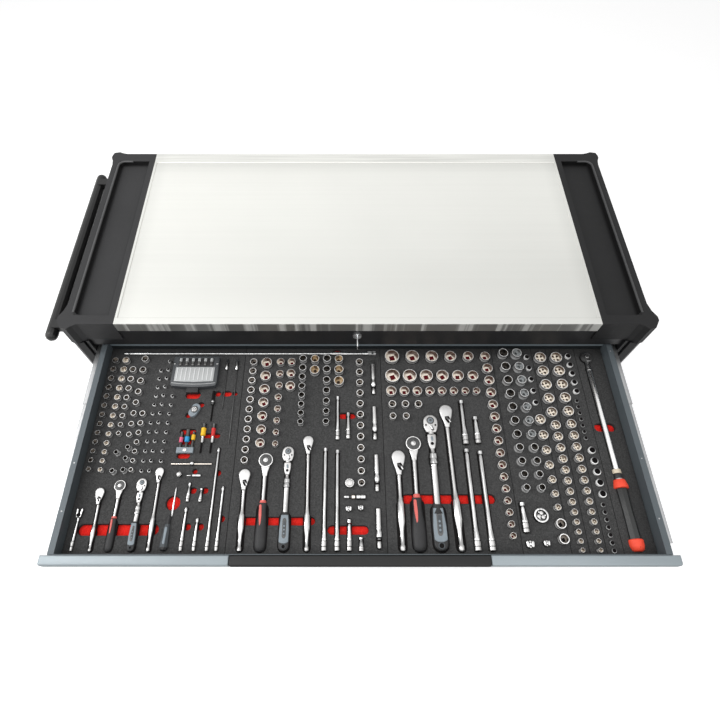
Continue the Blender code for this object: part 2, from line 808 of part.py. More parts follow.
# Rows that run left to right: first and last across, place, how many, widths
socket_row_shares = ((0.571, 0.759, 0.056, 6, 0.073, 0.049), (0.570, 0.729, 0.165, 6, 0.073, 0.054),
                     (0.566, 0.732, 0.248, 8, 0.051, 0.036), (0.567, 0.617, 0.317, 3, 0.036, 0.036),
                     (0.567, 0.592, 0.379, 2, 0.032, 0.032))
# Ratchets: head across, end across, head, grip start, end, head width, grip width
ratchet_shares = (
    (0.044, 0.047, 0.737, 0.880, 0.983, 0.040, 0.021), (0.077, 0.077, 0.709, 0.842, 0.983, 0.049, 0.034),
    (0.115, 0.116, 0.698, 0.854, 0.983, 0.045, 0.033), (0.141, 0.145, 0.660, 0.848, 0.983, 0.037, 0.021),
    (0.295, 0.298, 0.660, 0.837, 0.983, 0.050, 0.028), (0.332, 0.332, 0.593, 0.777, 0.983, 0.062, 0.049),
    (0.372, 0.372, 0.557, 0.822, 0.983, 0.054, 0.046), (0.408, 0.411, 0.495, 0.837, 0.983, 0.047, 0.026),
    (0.572, 0.572, 0.576, 0.773, 0.983, 0.061, 0.032), (0.602, 0.602, 0.514, 0.749, 0.983, 0.069, 0.060),
    (0.637, 0.638, 0.403, 0.786, 0.983, 0.069, 0.060), (0.663, 0.670, 0.347, 0.730, 0.983, 0.063, 0.036))
# Extension bars and joints that lie front to back: across, start, end, width
bar_shares = (
    (0.201, 0.694, 0.779, 0.011), (0.223, 0.719, 0.779, 0.011), (0.201, 0.803, 0.981, 0.012),
    (0.223, 0.848, 0.981, 0.012), (0.244, 0.533, 0.981, 0.012), (0.260, 0.713, 0.981, 0.012),
    (0.020, 0.820, 0.981, 0.012), (0.440, 0.531, 0.981, 0.017), (0.462, 0.540, 0.981, 0.017),
    (0.462, 0.274, 0.493, 0.016), (0.482, 0.358, 0.488, 0.016), (0.483, 0.850, 0.981, 0.017),
    (0.503, 0.925, 0.981, 0.017), (0.532, 0.094, 0.261, 0.019), (0.532, 0.325, 0.493, 0.019),
    (0.533, 0.563, 0.732, 0.019), (0.533, 0.805, 0.970, 0.019), (0.698, 0.300, 0.516, 0.021),
    (0.723, 0.385, 0.512, 0.021), (0.698, 0.540, 0.981, 0.021), (0.723, 0.546, 0.981, 0.021),
    (0.785, 0.782, 0.908, 0.021))
# Small round adapters: across, forward, width
button_shares = ((0.178, 0.657, 0.026), (0.188, 0.345, 0.056), (0.484, 0.696, 0.039), (0.482, 0.809, 0.026),
                 (0.503, 0.805, 0.026), (0.814, 0.837, 0.060), (0.788, 0.955, 0.034), (0.814, 0.951, 0.028))
# Bars that lie left to right: first and last across, place, width
cross_shares = ((0.193, 0.217, 0.662, 0.015), (0.476, 0.511, 0.756, 0.024), (0.160, 0.234, 0.610, 0.009))
breaker_shares = (0.026, 0.539, 0.040, 0.019)
# Drivers: across, start, end, width
driver_shares = (
    (0.177, 0.717, 0.834, 0.009), (0.177, 0.835, 0.976, 0.032), (0.240, 0.073, 0.140, 0.015),
    (0.240, 0.141, 0.336, 0.006), (0.260, 0.073, 0.140, 0.015), (0.260, 0.141, 0.514, 0.006),
    (0.221, 0.255, 0.396, 0.011), (0.172, 0.463, 0.537, 0.017), (0.183, 0.463, 0.537, 0.017),
    (0.194, 0.463, 0.537, 0.017), (0.212, 0.430, 0.498, 0.021), (0.212, 0.499, 0.544, 0.017),
    (0.230, 0.430, 0.498, 0.021), (0.230, 0.499, 0.544, 0.017))
# Torque wrench: across, then stations along it and a width for each stretch
torque_across_share = 0.964
torque_station_shares = (0.060, 0.118, 0.642, 0.679, 0.719, 0.934, 0.983)
torque_width_shares = (0.022, 0.030, 0.039, 0.064, 0.049, 0.062)
torque_head_share = 0.060
bit_box_shares = (0.134, 0.225, 0.062, 0.232)
# Notches through the black foam: first and last across, place, half width
notch_shares = (
    (0.030, 0.150, 0.897, 0.024), (0.309, 0.418, 0.861, 0.016), (0.454, 0.509, 0.899, 0.017),
    (0.470, 0.490, 0.377, 0.013), (0.585, 0.729, 0.769, 0.020), (0.951, 0.976, 0.439, 0.017),
    (0.231, 0.265, 0.263, 0.015), (0.250, 0.250, 0.653, 0.015), (0.207, 0.207, 0.645, 0.012),
    (0.210, 0.210, 0.732, 0.015), (0.231, 0.231, 0.732, 0.015), (0.209, 0.209, 0.887, 0.015),
    (0.231, 0.231, 0.887, 0.015), (0.266, 0.266, 0.854, 0.015), (0.177, 0.177, 0.786, 0.032),
    (0.174, 0.189, 0.272, 0.017), (0.203, 0.203, 0.323, 0.015), (0.175, 0.175, 0.385, 0.015),
    (0.175, 0.189, 0.572, 0.015), (0.174, 0.189, 0.465, 0.012), (0.212, 0.241, 0.482, 0.011))

bed_half = drawer_half_width - drawer_wall - gap
bed_back = box_front + drawer_depth - sheet - gap
bed_front = box_front + sheet + gap
bed_depth = bed_back - bed_front


def bed_x(share):
    return bed_half * (2 * share - 1)


def bed_y(share):
    return bed_back - bed_depth * share


def spread(start, end, count, first, last):
    """Places from start to end, stepping wider where the pieces are wider."""
    steps = []
    for index in range(count - 1):
        steps.append(first + (last - first) * (index + 0.5) / (count - 1) + (first + last) * 0.35)
    place_now = start
    places = [start]
    for step in steps:
        place_now += step * (end - start) / sum(steps)
        places.append(place_now)
    return places


def inlay_of(share):
    """Which inlay a place across the bed falls in, counted from the left."""
    return sum(seam <= share for seam in seam_shares)


def add_socket(shape, x, y, width_share, surface, tall):
    """A socket that stands in its hole, with its wall and drive end as one plug."""
    sides = 8 if width_share > wide_socket_share else 6 if width_share > small_socket_share else 5
    rise = deep_socket_rise if tall else socket_rise
    add_cylinder(shape, (x, y, surface - socket_sink), (x, y, surface + rise), bed_depth * width_share / 2, sides)


def add_sockets(shape, number, surface):
    for across, start, end, count, first, last, tall in socket_column_shares[number]:
        for index, share in enumerate(spread(start, end, count, first, last)):
            width = first + (last - first) * index / max(count - 1, 1)
            add_socket(shape, bed_x(across), bed_y(share), width, surface, tall)
    if inlay_of(socket_row_shares[0][0]) == number:
        for start, end, along, count, first, last in socket_row_shares:
            depth_to_width = bed_depth / (2 * bed_half)
            steps = spread(start, end, count, first * depth_to_width, last * depth_to_width)
            for index, share in enumerate(steps):
                width = first + (last - first) * index / max(count - 1, 1)
                add_socket(shape, bed_x(share), bed_y(along), width, surface, False)


def add_lying(shape, start, end, width_share, surface, sides=5):
    """A bar that lies about half sunk in the foam, from one place to another."""
    half = bed_depth * width_share / 2
    height = surface + half * lying_rise_share
    add_cylinder(shape, (bed_x(start[0]), bed_y(start[1]), height), (bed_x(end[0]), bed_y(end[1]), height),
                 half, sides)


def ratchet_outline(head_x, end_x, head, grip, end, head_width, grip_width):
    """Teardrop head, slim neck and a grip that swells a little."""
    radius = bed_depth * head_width / 2
    half = bed_depth * grip_width / 2
    neck = half * 0.55
    lean = (bed_x(end_x) - bed_x(head_x)) / (bed_y(end) - bed_y(head))
    x = bed_x(head_x)
    y = bed_y(head)
    grip_y = bed_y(grip)
    end_y = bed_y(end)
    points = arc((0, y), radius, -20, 200, 6)
    right = [(neck, y - radius * 1.9), (neck, grip_y + neck), (half, grip_y - neck), (half, end_y + neck),
             (half * 0.7, end_y)]
    outline = points + [(-px, py) for px, py in right] + list(reversed(right))
    return [(x + px + lean * (py - y), py) for px, py in outline]


def capsule(start_x, end_x, y, radius, steps=3):
    points = arc((end_x, y), radius, -90, 90, steps)
    points += arc((start_x, y), radius, 90, 270, steps)
    return points


def add_tools(shape, number, surface):
    """Everything pressed into one inlay but the big pieces that lift out."""
    add_sockets(shape, number, surface)
    for row in ratchet_shares:
        if inlay_of(row[0]) == number:
            outline = ratchet_outline(*row)
            shape.from_mesh(slab_mesh("ratchet", outline, surface - socket_sink, surface + tool_rise))
    for across, near, far, width in bar_shares:
        if inlay_of(across) == number:
            add_lying(shape, (across, near), (across, far), width, surface)
    for across, near, far, width in driver_shares:
        if inlay_of(across) == number:
            add_lying(shape, (across, near), (across, far), width, surface)
    for start, end, along, width in cross_shares:
        if inlay_of(start) == number:
            add_lying(shape, (start, along), (end, along), width, surface)
    for across, along, width in button_shares:
        if inlay_of(across) == number:
            add_socket(shape, bed_x(across), bed_y(along), width, surface, False)


def trough(start, end, along, half, surface, depth):
    """A straight pocket that runs left to right."""
    low = (bed_x(start) - overrun, bed_y(along) - half, surface - depth)
    high = (bed_x(end) + overrun, bed_y(along) + half, surface + overrun)
    return block_mesh("trough", low, high)


def notch_mesh(row, low, high, clear=0):
    """A finger notch through the black foam, or the red pad that shows in it with some room round it."""
    first, last, along, radius = row
    outline = capsule(bed_x(first), bed_x(last), bed_y(along), bed_depth * radius - clear)
    return slab_mesh("notch", outline, low - overrun, high)


def fill_drawer(axis, floor, surface):
    """Foam in two colours with the tools in it. The red sheet rises through the notches of the black one."""
    low = floor + gap
    split = low + red_foam
    sheet_low = (-bed_half, bed_front, low)
    sheet_high = (bed_half, bed_back, split)
    sheet_block = block_mesh("red_foam", sheet_low, sheet_high)
    red = place("red_foam", sheet_block, "red_foam", axis)
    cut(red, join_meshes("red_pads", [notch_mesh(row, split, surface - red_pad_drop, gap) for row in notch_shares]),
        "UNION", crossing=True)
    seams = [bed_x(share) for share in seam_shares]
    start, end, along, width = breaker_shares
    bar_half = bed_depth * width / 2
    box_left, box_right, box_near, box_far = bit_box_shares
    box_low = (bed_x(box_left), bed_y(box_far), surface - bit_box_sink)
    box_high = (bed_x(box_right), bed_y(box_near), surface + bit_box_rise)
    spare = Vector((pocket_clear, pocket_clear, gap))
    pockets = {
        1: [trough(start, end, along, bar_half + pocket_clear, surface, bar_half + gap),
            block_mesh("pocket", Vector(box_low) - spare, Vector(box_high) + spare)],
        2: [trough(start, end, along, bar_half + pocket_clear, surface, bar_half + gap)],
        3: [],
        4: [wrench_pocket(surface)],
    }
    for number in range(1, len(seams)):
        name = "foam_inlay_" + str(number)
        left = seams[number - 1] + (gap if number > 1 else 0)
        right = seams[number] - (gap if number < len(seams) - 1 else 0)
        inlay_mesh = block_mesh(name, (left, bed_front, split + gap), (right, bed_back, surface))
        inlay = place(name, inlay_mesh, "black_foam", axis)
        holes = list(pockets[number])
        holes += [notch_mesh(row, split, surface + overrun) for row in notch_shares if inlay_of(row[0]) == number]
        if holes:
            cut(inlay, join_meshes(name + "_hollows", holes), crossing=True)
        tools = bmesh.new()
        add_tools(tools, number, surface)
        cut(inlay, mesh_of(tools, name + "_tools"), "UNION", crossing=True)
    bar = bmesh.new()
    y = bed_y(along)
    add_cylinder(bar, (bed_x(start), y, surface), (bed_x(end), y, surface), bar_half, 8)
    place("breaker_bar", mesh_of(bar, "breaker_bar"), "chrome", axis)
    bit_box = place("bit_box", block_mesh("bit_box", box_low, box_high), "grey_plastic", axis)
    bevel(bit_box, bit_box_rise / 6, 1)
    make_torque_wrench(axis, surface)


def wrench_pocket(surface):
    """The torque wrench's outline from above, with some room round it."""
    x = bed_x(torque_across_share)
    widths = [bed_depth * share / 2 + pocket_clear for share in torque_width_shares]
    side = [(widths[0], bed_y(torque_station_shares[0]))]
    for station, (before, after) in enumerate(zip(widths, widths[1:]), 1):
        step = bed_y(torque_station_shares[station]) + (pocket_clear if after > before else -pocket_clear)
        side += [(before, step), (after, step)]
    side.append((widths[-1], bed_y(torque_station_shares[-1]) - pocket_clear))
    outline = [(x + half, y) for half, y in side] + [(x - half, y) for half, y in reversed(side)]
    depth = bed_depth * max(torque_width_shares) / 2 + gap
    head = bmesh.new()
    y = bed_y(torque_station_shares[0])
    radius = bed_depth * torque_head_share / 2 + pocket_clear
    add_cylinder(head, (x, y, surface - depth), (x, y, surface + overrun), radius, 12)
    body = slab_mesh("pocket", outline, surface - depth, surface + overrun)
    return join_meshes("wrench_pocket", [body, mesh_of(head, "head")])


def make_torque_wrench(axis, surface):
    """Round head, tube, collar, ring, grip and end cap, half sunk in the foam."""
    x = bed_x(torque_across_share)
    widths = [bed_depth * share for share in torque_width_shares]
    profile = [(0, bed_y(torque_station_shares[0]))]
    for station, width in enumerate(widths):
        near = bed_y(torque_station_shares[station])
        far = bed_y(torque_station_shares[station + 1])
        profile += [(width / 2, near), (width / 2, far)]
    profile.append((0, bed_y(torque_station_shares[-1])))
    body = profile_mesh("torque_wrench", profile)
    wrench = place("torque_wrench", body, "zinc", axis, (x, 0, surface))
    wrench.rotation_euler = (math.radians(-90), 0, 0)
    turned(wrench, 12)
    head = bmesh.new()
    half = bed_depth * torque_head_share / 2
    y = bed_y(torque_station_shares[0])
    add_cylinder(head, (0, y, -half / 2), (0, y, half / 2), half, 12)
    cut(wrench, mesh_of(head, "torque_head"), "UNION")


# Castors: two swivel with a brake on the push bar's side, two fixed on the other. They roll along the cart's
# length, and the swivel ones trail towards the bar, as they do when someone pushes it.
def wheel_mesh(name):
    half = wheel_width / 2
    hub_half = wheel_hub_width / 2
    tread = wheel_radius
    points = [(wheel_bore, hub_half), (wheel_radius * 0.28, hub_half), (wheel_radius * 0.70, half * 0.45),
              (wheel_radius * 0.74, half), (tread * 0.92, half), (tread, half * 0.5)]
    lower = [(radius, -height) for radius, height in reversed(points)]
    return profile_mesh(name, points + lower + [points[0]])


def fork_outline(trail, top):
    """Seen from the side: a wide crown whose legs lean back to the axle."""
    foot = arc((trail, wheel_z), fork_foot_radius, 180, 360, 6)
    return foot + [(fork_half_depth, top - fork_shoulder), (fork_half_depth, top + overrun),
                   (-fork_half_depth, top + overrun), (-fork_half_depth, top - fork_shoulder)]


def axle_mesh(x, y):
    """A bolt across the fork, with a head at each end."""
    reach = fork_reach + axle_head
    points = [(0, reach), (axle_head_radius, reach), (axle_head_radius, fork_reach - fork_sheet / 2),
              (axle_radius, fork_reach - fork_sheet / 2)]
    points += [(radius, -height) for radius, height in reversed(points)]
    shape = bmesh.new()
    verts = [shape.verts.new((height, radius, 0)) for radius, height in points]
    edges = [shape.edges.new(pair) for pair in zip(verts, verts[1:])]
    bmesh.ops.spin(shape, geom=verts + edges, cent=(0, 0, 0), axis=(1, 0, 0), angle=math.tau, steps=8,
                   use_merge=True)
    bmesh.ops.remove_doubles(shape, verts=shape.verts, dist=merge)
    bmesh.ops.recalc_face_normals(shape, faces=shape.faces)
    bmesh.ops.translate(shape, vec=(x, y, wheel_z), verts=shape.verts)
    return mesh_of(shape, "axle")


def make_forks(name, spots, trail, top, holder=None, at=(0, 0, 0)):
    """Folded forks at some spots, each cut to its outline, with the axle through both legs."""
    folds = []
    keeps = []
    for x, y in spots:
        path = [(x - fork_reach, 0), (x - fork_reach, top), (x + fork_reach, top), (x + fork_reach, 0)]
        folds.append(folded_mesh("fold", path, y - fork_half_depth - overrun,
                                 y + trail + fork_foot_radius + overrun, fork_sheet, "XZ"))
        outline = [(y + along, up) for along, up in fork_outline(trail, top)]
        keeps.append(slab_mesh("keep", outline, x - fork_reach - overrun, x + fork_reach + overrun, "YZ"))
    fork = place(name, join_meshes(name, folds), "zinc", holder, at)
    cut(fork, join_meshes(name + "_keep", keeps), "INTERSECT")
    cut(fork, join_meshes(name + "_axle", [axle_mesh(x, y + trail) for x, y in spots]), "UNION")
    return fork


def lay_across(item):
    """Turns a piece that was made round Z so that its axis runs along X."""
    item.rotation_euler = (0, math.radians(90), 0)


def pedal_mesh(name):
    """Foot lever over the wheel: it leans down to its tip."""
    outline = [(-pedal_pin_radius, 0), (0, -pedal_thick), (pedal_reach, -pedal_thick - pedal_lean),
               (pedal_reach + pedal_thick, -pedal_lean), (pedal_reach - pedal_thick, pedal_thick / 2 - pedal_lean),
               (pedal_thick, pedal_thick / 2), (0, pedal_thick / 2)]
    return slab_mesh(name, outline, -pedal_width / 2, pedal_width / 2, "YZ")


def make_castors():
    for end, y in zip(("front", "rear"), castor_y):
        seat = pivot("castor_" + end + "_seat", (castor_x, y, 0), None, castor_turn)
        make_forks("fixed_fork_" + end, [(0, 0)], 0, fixed_top, seat)
        make_wheel("wheel_" + end + "_right", (0, 0, wheel_z), seat)
    for end, y in zip(("front", "rear"), castor_y):
        swivel = pivot("castor_" + end + "_swivel", (-castor_x, y, 0), None, castor_turn)
        fork = make_forks("swivel_fork_" + end, [(0, 0)], swivel_trail, swivel_top, swivel)
        race = bmesh.new()
        add_cylinder(race, (0, 0, swivel_top - fork_sheet / 2), (0, 0, swivel_top + swivel_race),
                     swivel_race_radius, 16)
        cut(fork, mesh_of(race, "race"), "UNION")
        bores = bmesh.new()
        add_cylinder(bores, (0, 0, swivel_top - fork_sheet - overrun), (0, 0, swivel_top + swivel_race + overrun),
                     kingpin_radius + gap, 12)
        cut(fork, mesh_of(bores, "kingpin_bore"))
        bores = bmesh.new()
        add_cylinder(bores, (-fork_reach - overrun, pedal_y, pedal_z), (fork_reach + overrun, pedal_y, pedal_z),
                     pedal_pin_radius + gap, 12)
        cut(fork, mesh_of(bores, "pedal_bore"))
        make_wheel("wheel_" + end + "_left", (0, swivel_trail, wheel_z), swivel)
        axis = pivot("brake_" + end + "_axis", (0, pedal_y, pedal_z), swivel)
        name = "brake_pedal_" + end
        pedal = place(name, pedal_mesh(name), "black_plastic", axis)
        pin = bmesh.new()
        add_cylinder(pin, (-fork_reach, 0, 0), (fork_reach, 0, 0), pedal_pin_radius, 12)
        cut(pedal, mesh_of(pin, "pedal_pin"), "UNION")


def make_wheel(name, at, holder):
    hub = pivot(name + "_spin", at, holder)
    wheel = place(name, wheel_mesh(name), "rubber", hub)
    lay_across(wheel)
    turned(wheel, wheel_steps)


make_worktop()
make_tray("left_tray", -1)
make_tray("right_tray", 1)
make_shell()
make_push_bar()
make_lock()
make_drawers()
make_castors()
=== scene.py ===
import math

import bmesh
import bpy
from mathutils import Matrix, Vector


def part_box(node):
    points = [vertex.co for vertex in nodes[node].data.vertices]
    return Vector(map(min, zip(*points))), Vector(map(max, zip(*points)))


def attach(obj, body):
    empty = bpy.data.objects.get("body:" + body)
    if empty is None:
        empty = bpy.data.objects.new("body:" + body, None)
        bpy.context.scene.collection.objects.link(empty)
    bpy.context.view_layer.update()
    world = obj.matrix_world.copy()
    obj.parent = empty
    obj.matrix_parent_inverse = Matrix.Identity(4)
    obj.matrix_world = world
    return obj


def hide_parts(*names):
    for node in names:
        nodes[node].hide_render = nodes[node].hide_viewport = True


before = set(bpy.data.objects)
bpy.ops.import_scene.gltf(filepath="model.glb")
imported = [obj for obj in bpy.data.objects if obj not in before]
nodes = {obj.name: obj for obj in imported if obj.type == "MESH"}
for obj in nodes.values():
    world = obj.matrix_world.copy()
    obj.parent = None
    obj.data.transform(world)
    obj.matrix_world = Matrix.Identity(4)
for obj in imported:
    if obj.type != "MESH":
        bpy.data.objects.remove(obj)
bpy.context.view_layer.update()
scene = bpy.context.scene
print("frame loaded,", len(nodes), "nodes")

# Places shared with the frame: x is counted from the worktop's middle, the bed is the red sheet's outline
mm = 0.001
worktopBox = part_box("worktop")
middleX = (worktopBox[0][0] + worktopBox[1][0]) / 2
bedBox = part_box("red_foam")
bedHalf = (bedBox[1][0] - bedBox[0][0]) / 2
bedNear = bedBox[0][1]
bedBack = bedBox[1][1]
bedDepth = bedBack - bedNear
bed = {"socketRise": 0.010, "edge": 0.0004}
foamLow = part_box("foam_inlay_3")[0][2]
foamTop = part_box("foam_inlay_3")[1][2] - bed["socketRise"]
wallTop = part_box("drawer_1_box")[1][2]


def bedX(share):
    return middleX + bedHalf * (2 * share - 1)


def bedY(share):
    return bedBack - bedDepth * share


# Shader maths: a value in a material's node tree
class Signal:
    def __init__(self, tree, socket):
        self.tree, self.socket = tree, socket

    def made(self, kind, inputs, outlet=0, **settings):
        node = self.tree.nodes.new(kind)
        for key, value in settings.items():
            setattr(node, key, value)
        for index, value in inputs.items():
            if isinstance(value, Signal):
                self.tree.links.new(value.socket, node.inputs[index])
            else:
                node.inputs[index].default_value = value
        return Signal(self.tree, node.outputs[outlet])

    def calc(self, operation, *values):
        return self.made("ShaderNodeMath", dict(enumerate(values)), operation=operation)

    def __add__(self, other):
        return self.calc("ADD", self, other)

    def __radd__(self, other):
        return self.calc("ADD", other, self)

    def __sub__(self, other):
        return self.calc("SUBTRACT", self, other)

    def __rsub__(self, other):
        return self.calc("SUBTRACT", other, self)

    def __mul__(self, other):
        return self.calc("MULTIPLY", self, other)

    def __rmul__(self, other):
        return self.calc("MULTIPLY", other, self)

    def __pow__(self, other):
        return self.calc("POWER", self, other)

    def __abs__(self):
        return self.calc("ABSOLUTE", self)

    # 0 under low, 1 over high, and smooth between them
    def step(self, low, high):
        return self.made("ShaderNodeMapRange", {0: self, 1: low, 2: high}, interpolation_type="SMOOTHSTEP")

    # A colour between two, for values from 0 to 1
    def tint(self, low, high):
        return self.made("ShaderNodeMix", {0: self, 6: low, 7: high}, outlet=2, data_type="RGBA")


# A Principled material with the object's own coordinates at hand
class Surface:
    def __init__(self, name):
        self.material = bpy.data.materials.new(name)
        self.material.use_nodes = True
        self.tree = self.material.node_tree
        self.shader = self.tree.nodes["Principled BSDF"]
        self.place = Signal(self.tree, self.tree.nodes.new("ShaderNodeTexCoord").outputs["Object"])

    def axis(self, index):
        return self.place.made("ShaderNodeSeparateXYZ", {0: self.place}, outlet=index)

    # A number that the mesh carries on its points
    def carried(self, name):
        return self.place.made("ShaderNodeAttribute", {}, outlet=2, attribute_name=name)

    def noise(self, scale, detail=3.0, roughness=0.55, stretch=None):
        place = self.place
        if stretch:
            place = place.made("ShaderNodeVectorMath", {0: place, 1: stretch}, operation="MULTIPLY")
        inputs = {"Vector": place, "Scale": scale, "Detail": detail, "Roughness": roughness}
        return self.place.made("ShaderNodeTexNoise", inputs)

    def cells(self, scale):
        return self.place.made("ShaderNodeTexVoronoi", {"Vector": self.place, "Scale": scale})

    def set(self, name, value):
        if isinstance(value, Signal):
            self.tree.links.new(value.socket, self.shader.inputs[name])
        else:
            self.shader.inputs[name].default_value = value

    def bump(self, height, strength, distance=0.001):
        inputs = {"Strength": strength, "Distance": distance, "Height": height}
        self.set("Normal", self.place.made("ShaderNodeBump", inputs))

    def done(self, colour, roughness, metallic=0.0, shine=0.5):
        self.set("Base Color", colour)
        self.set("Roughness", roughness)
        self.set("Metallic", metallic)
        self.set("Specular IOR Level", shine)
        return self.material


def tone(red, green, blue):
    return (red, green, blue, 1.0)


def grey(value, warm=0.0):
    return (value * (1 + warm), value, value * (1 - warm), 1.0)


def scaled(colour, factor, extra=0.0):
    return tone(*(channel * factor + extra for channel in colour[:3]))


# The bench top: satin sheet with fine lines along it, painted light that falls off slowly, painted soft shade
# along the rear rim, the sides and a fold line near its front, and a front edge in dark stripes of painted
# reflection
bench = {
    "value": 0.81, "roughness": 0.42, "metallic": 0.85, "fall": 0.10, "front": 1.1, "paleFrom": 0.43,
    "fade": 0.60, "frontRim": 0.017, "backRim": 0.032, "rearShade": 0.050, "sideShade": 0.045, "fold": 0.0012,
}


def benchSteel(name):
    surface = Surface(name)
    value, near, far = bench["value"], worktopBox[0][1], worktopBox[1][1]
    lines = surface.noise(1.0, 2.0, 0.5, (9.0, 900.0, 900.0))
    clouds = surface.noise(3.5, 4.0, 0.6)
    marks = surface.noise(1.0, 1.0, 0.4, (1.3, 130.0, 130.0))
    right, along = surface.axis(0), surface.axis(1)
    shade = lines * 0.12 + clouds * 0.18 + marks * 0.15 + 0.50
    # Painted light: darker slowly to the right and towards the front
    shade = shade - bench["fall"] * right - bench["front"]
    shade = shade + bench["front"] * along.step(bench["paleFrom"] - bench["fade"], bench["paleFrom"])
    steel = shade.tint(scaled(tone(0.76, 0.762, 0.727), value), scaled(tone(1.0, 1.002, 0.955), value))
    rimStart = far - bench["backRim"]
    rim = along.step(rimStart, rimStart + 0.001)
    # Painted shade under the rear rim, in the fold line and along the sides; painted reflection on the front
    # face
    under = along.step(rimStart - bench["rearShade"], rimStart) * (1 - rim)
    fold = 1 - abs(along - near - bench["frontRim"]).step(0.0004, bench["fold"])
    half = worktopBox[1][0] - middleX
    sides = abs(right - middleX).step(half - bench["sideShade"], half - 0.005)
    ridges = surface.noise(1.0, 2.0, 0.5, (3.0, 260.0, 3.0)).step(0.44, 0.60)
    face = 1 - along.step(near + 0.0002, near + 0.0010)
    reflectionBands = surface.noise(1.0, 3.0, 0.6, (34.0, 0.1, 0.1)).step(0.48, 0.60)
    paintedLight = 1 - 0.10 * under - 0.14 * rim * ridges - 0.12 * fold - 0.07 * sides - face * (0.45 - 0.45 * reflectionBands)
    surface.bump(lines, 0.04, 0.0004)
    return surface.done(paintedLight.tint(grey(0.0), steel), bench["roughness"] + 0.10 * lines + 0.05 * clouds,
                        bench["metallic"] * (1 - 0.75 * face * reflectionBands))


# Bright zinc with a cloudy crystal pattern, rubbed tracks and dark rolled lines
def zincPlate(name, value):
    surface = Surface(name)
    crystals = surface.cells(140.0)
    clouds = surface.noise(22.0, 4.0)
    rubbed = surface.noise(1.0, 2.0, 0.5, (600.0, 6.0, 600.0))
    shade = crystals * 0.25 + clouds * 0.30 + rubbed.step(0.38, 0.62) * 0.45
    surface.bump(crystals + rubbed, 0.06, 0.0004)
    zinc = shade.tint(grey(value * 0.62, -0.02), grey(value * 1.25, -0.01))
    return surface.done(zinc, 0.24 + 0.22 * clouds, 1.0)


# Polished plating: painted highlight where the mesh carries a high value, painted shade where it is low, and
# streaks along the tool as painted reflections
def chromePlate(name, bright, dim, warm=0.0, roughness=0.10, reflectionStreak=0.35, light="facing", metal=1.0):
    surface = Surface(name)
    hair = surface.noise(1.0, 2.0, 0.5, (1400.0, 160.0, 1400.0))
    # Streaks of painted reflection along the tool
    reflectionBands = surface.noise(1.0, 1.0, 0.5, (420.0, 26.0, 420.0)).step(0.34, 0.66)
    clouds = surface.noise(45.0, 3.0)
    surface.bump(hair, 0.03, 0.0003)
    # Painted highlight and shade by the carried value
    lit = surface.carried(light) * (1 - reflectionStreak + reflectionStreak * reflectionBands) + 0.12 * clouds - 0.06
    colour = lit.tint(grey(dim, warm), grey(bright, warm))
    return surface.done(colour, roughness + 0.08 * clouds + 0.05 * hair, metal, 0.3)


# Inside of a socket, painted light: a painted highlight on its wall under the mouth and where the gleam value is
# high, and painted shade deeper down in the colour of what lies below
def socketBore(name, pale, low, deep, span):
    surface = Surface(name)
    height = surface.axis(2).step(foamTop - deep, foamTop - deep + span)
    spots = surface.noise(150.0, 1.0, 0.5).step(0.42, 0.60)
    ground = surface.noise(900.0, 2.0, 0.5)
    gleam = surface.carried("gleam").step(0.15, 0.70)
    # Painted shade by depth, painted highlight by the gleam value
    colour = ((0.80 + 0.20 * height) * (0.88 * gleam + 0.12 * spots)).tint(low, pale)
    surface.bump(ground, 0.10, 0.0003)
    return surface.done(colour, 0.28 + 0.15 * ground)


# Fine spark-eroded grain with broad variation and a rubbed sheen, with painted shade from a function where one
# is given
def mouldedPlastic(name, colour, grain=2600.0, roughness=0.46, rub=0.075, shine=0.5, shadeOf=None):
    surface = Surface(name)
    pits = surface.noise(grain, 2.0, 0.6)
    broad = surface.noise(9.0, 4.0, 0.6)
    rubbed = surface.noise(60.0, 5.0, 0.7).step(0.52, 0.74)
    surface.bump(pits + rubbed * 0.3, 0.22, 0.00035)
    skin = (broad * 0.6 + pits * 0.4).tint(scaled(colour, 0.80), scaled(colour, 1.25, 0.002))
    if shadeOf:
        skin = shadeOf(surface).tint(grey(0.0), skin)
    return surface.done(skin, roughness + 0.14 * pits - rub * rubbed, shine=shine)


# The wells of the trays, by their distance from the trays' boxes, for the painted shade along their walls
trayWell = {"outRim": 0.0325, "inRim": 0.0145, "front": 0.0370, "back": 0.0360, "shade": 0.010}


# A tray's moulding, with painted shade inside its well along the walls
def trayPlastic(name, colour, tray, side):
    low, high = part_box(tray)
    outRim, inRim = (trayWell["outRim"], trayWell["inRim"])[::-side]

    def shadeOf(surface):
        across, along = surface.axis(0), surface.axis(1)
        inside = across.calc("MINIMUM", across - low[0] - outRim, high[0] - inRim - across)
        inside = inside.calc("MINIMUM", inside, along - low[1] - trayWell["front"])
        inside = inside.calc("MINIMUM", inside, high[1] - trayWell["back"] - along)
        return 1 - 0.72 * inside.step(-0.0006, 0.0002) * (1 - inside.step(0.001, trayWell["shade"]))

    return mouldedPlastic(name, colour, 2200.0, 0.55, 0.08, 0.2, shadeOf)


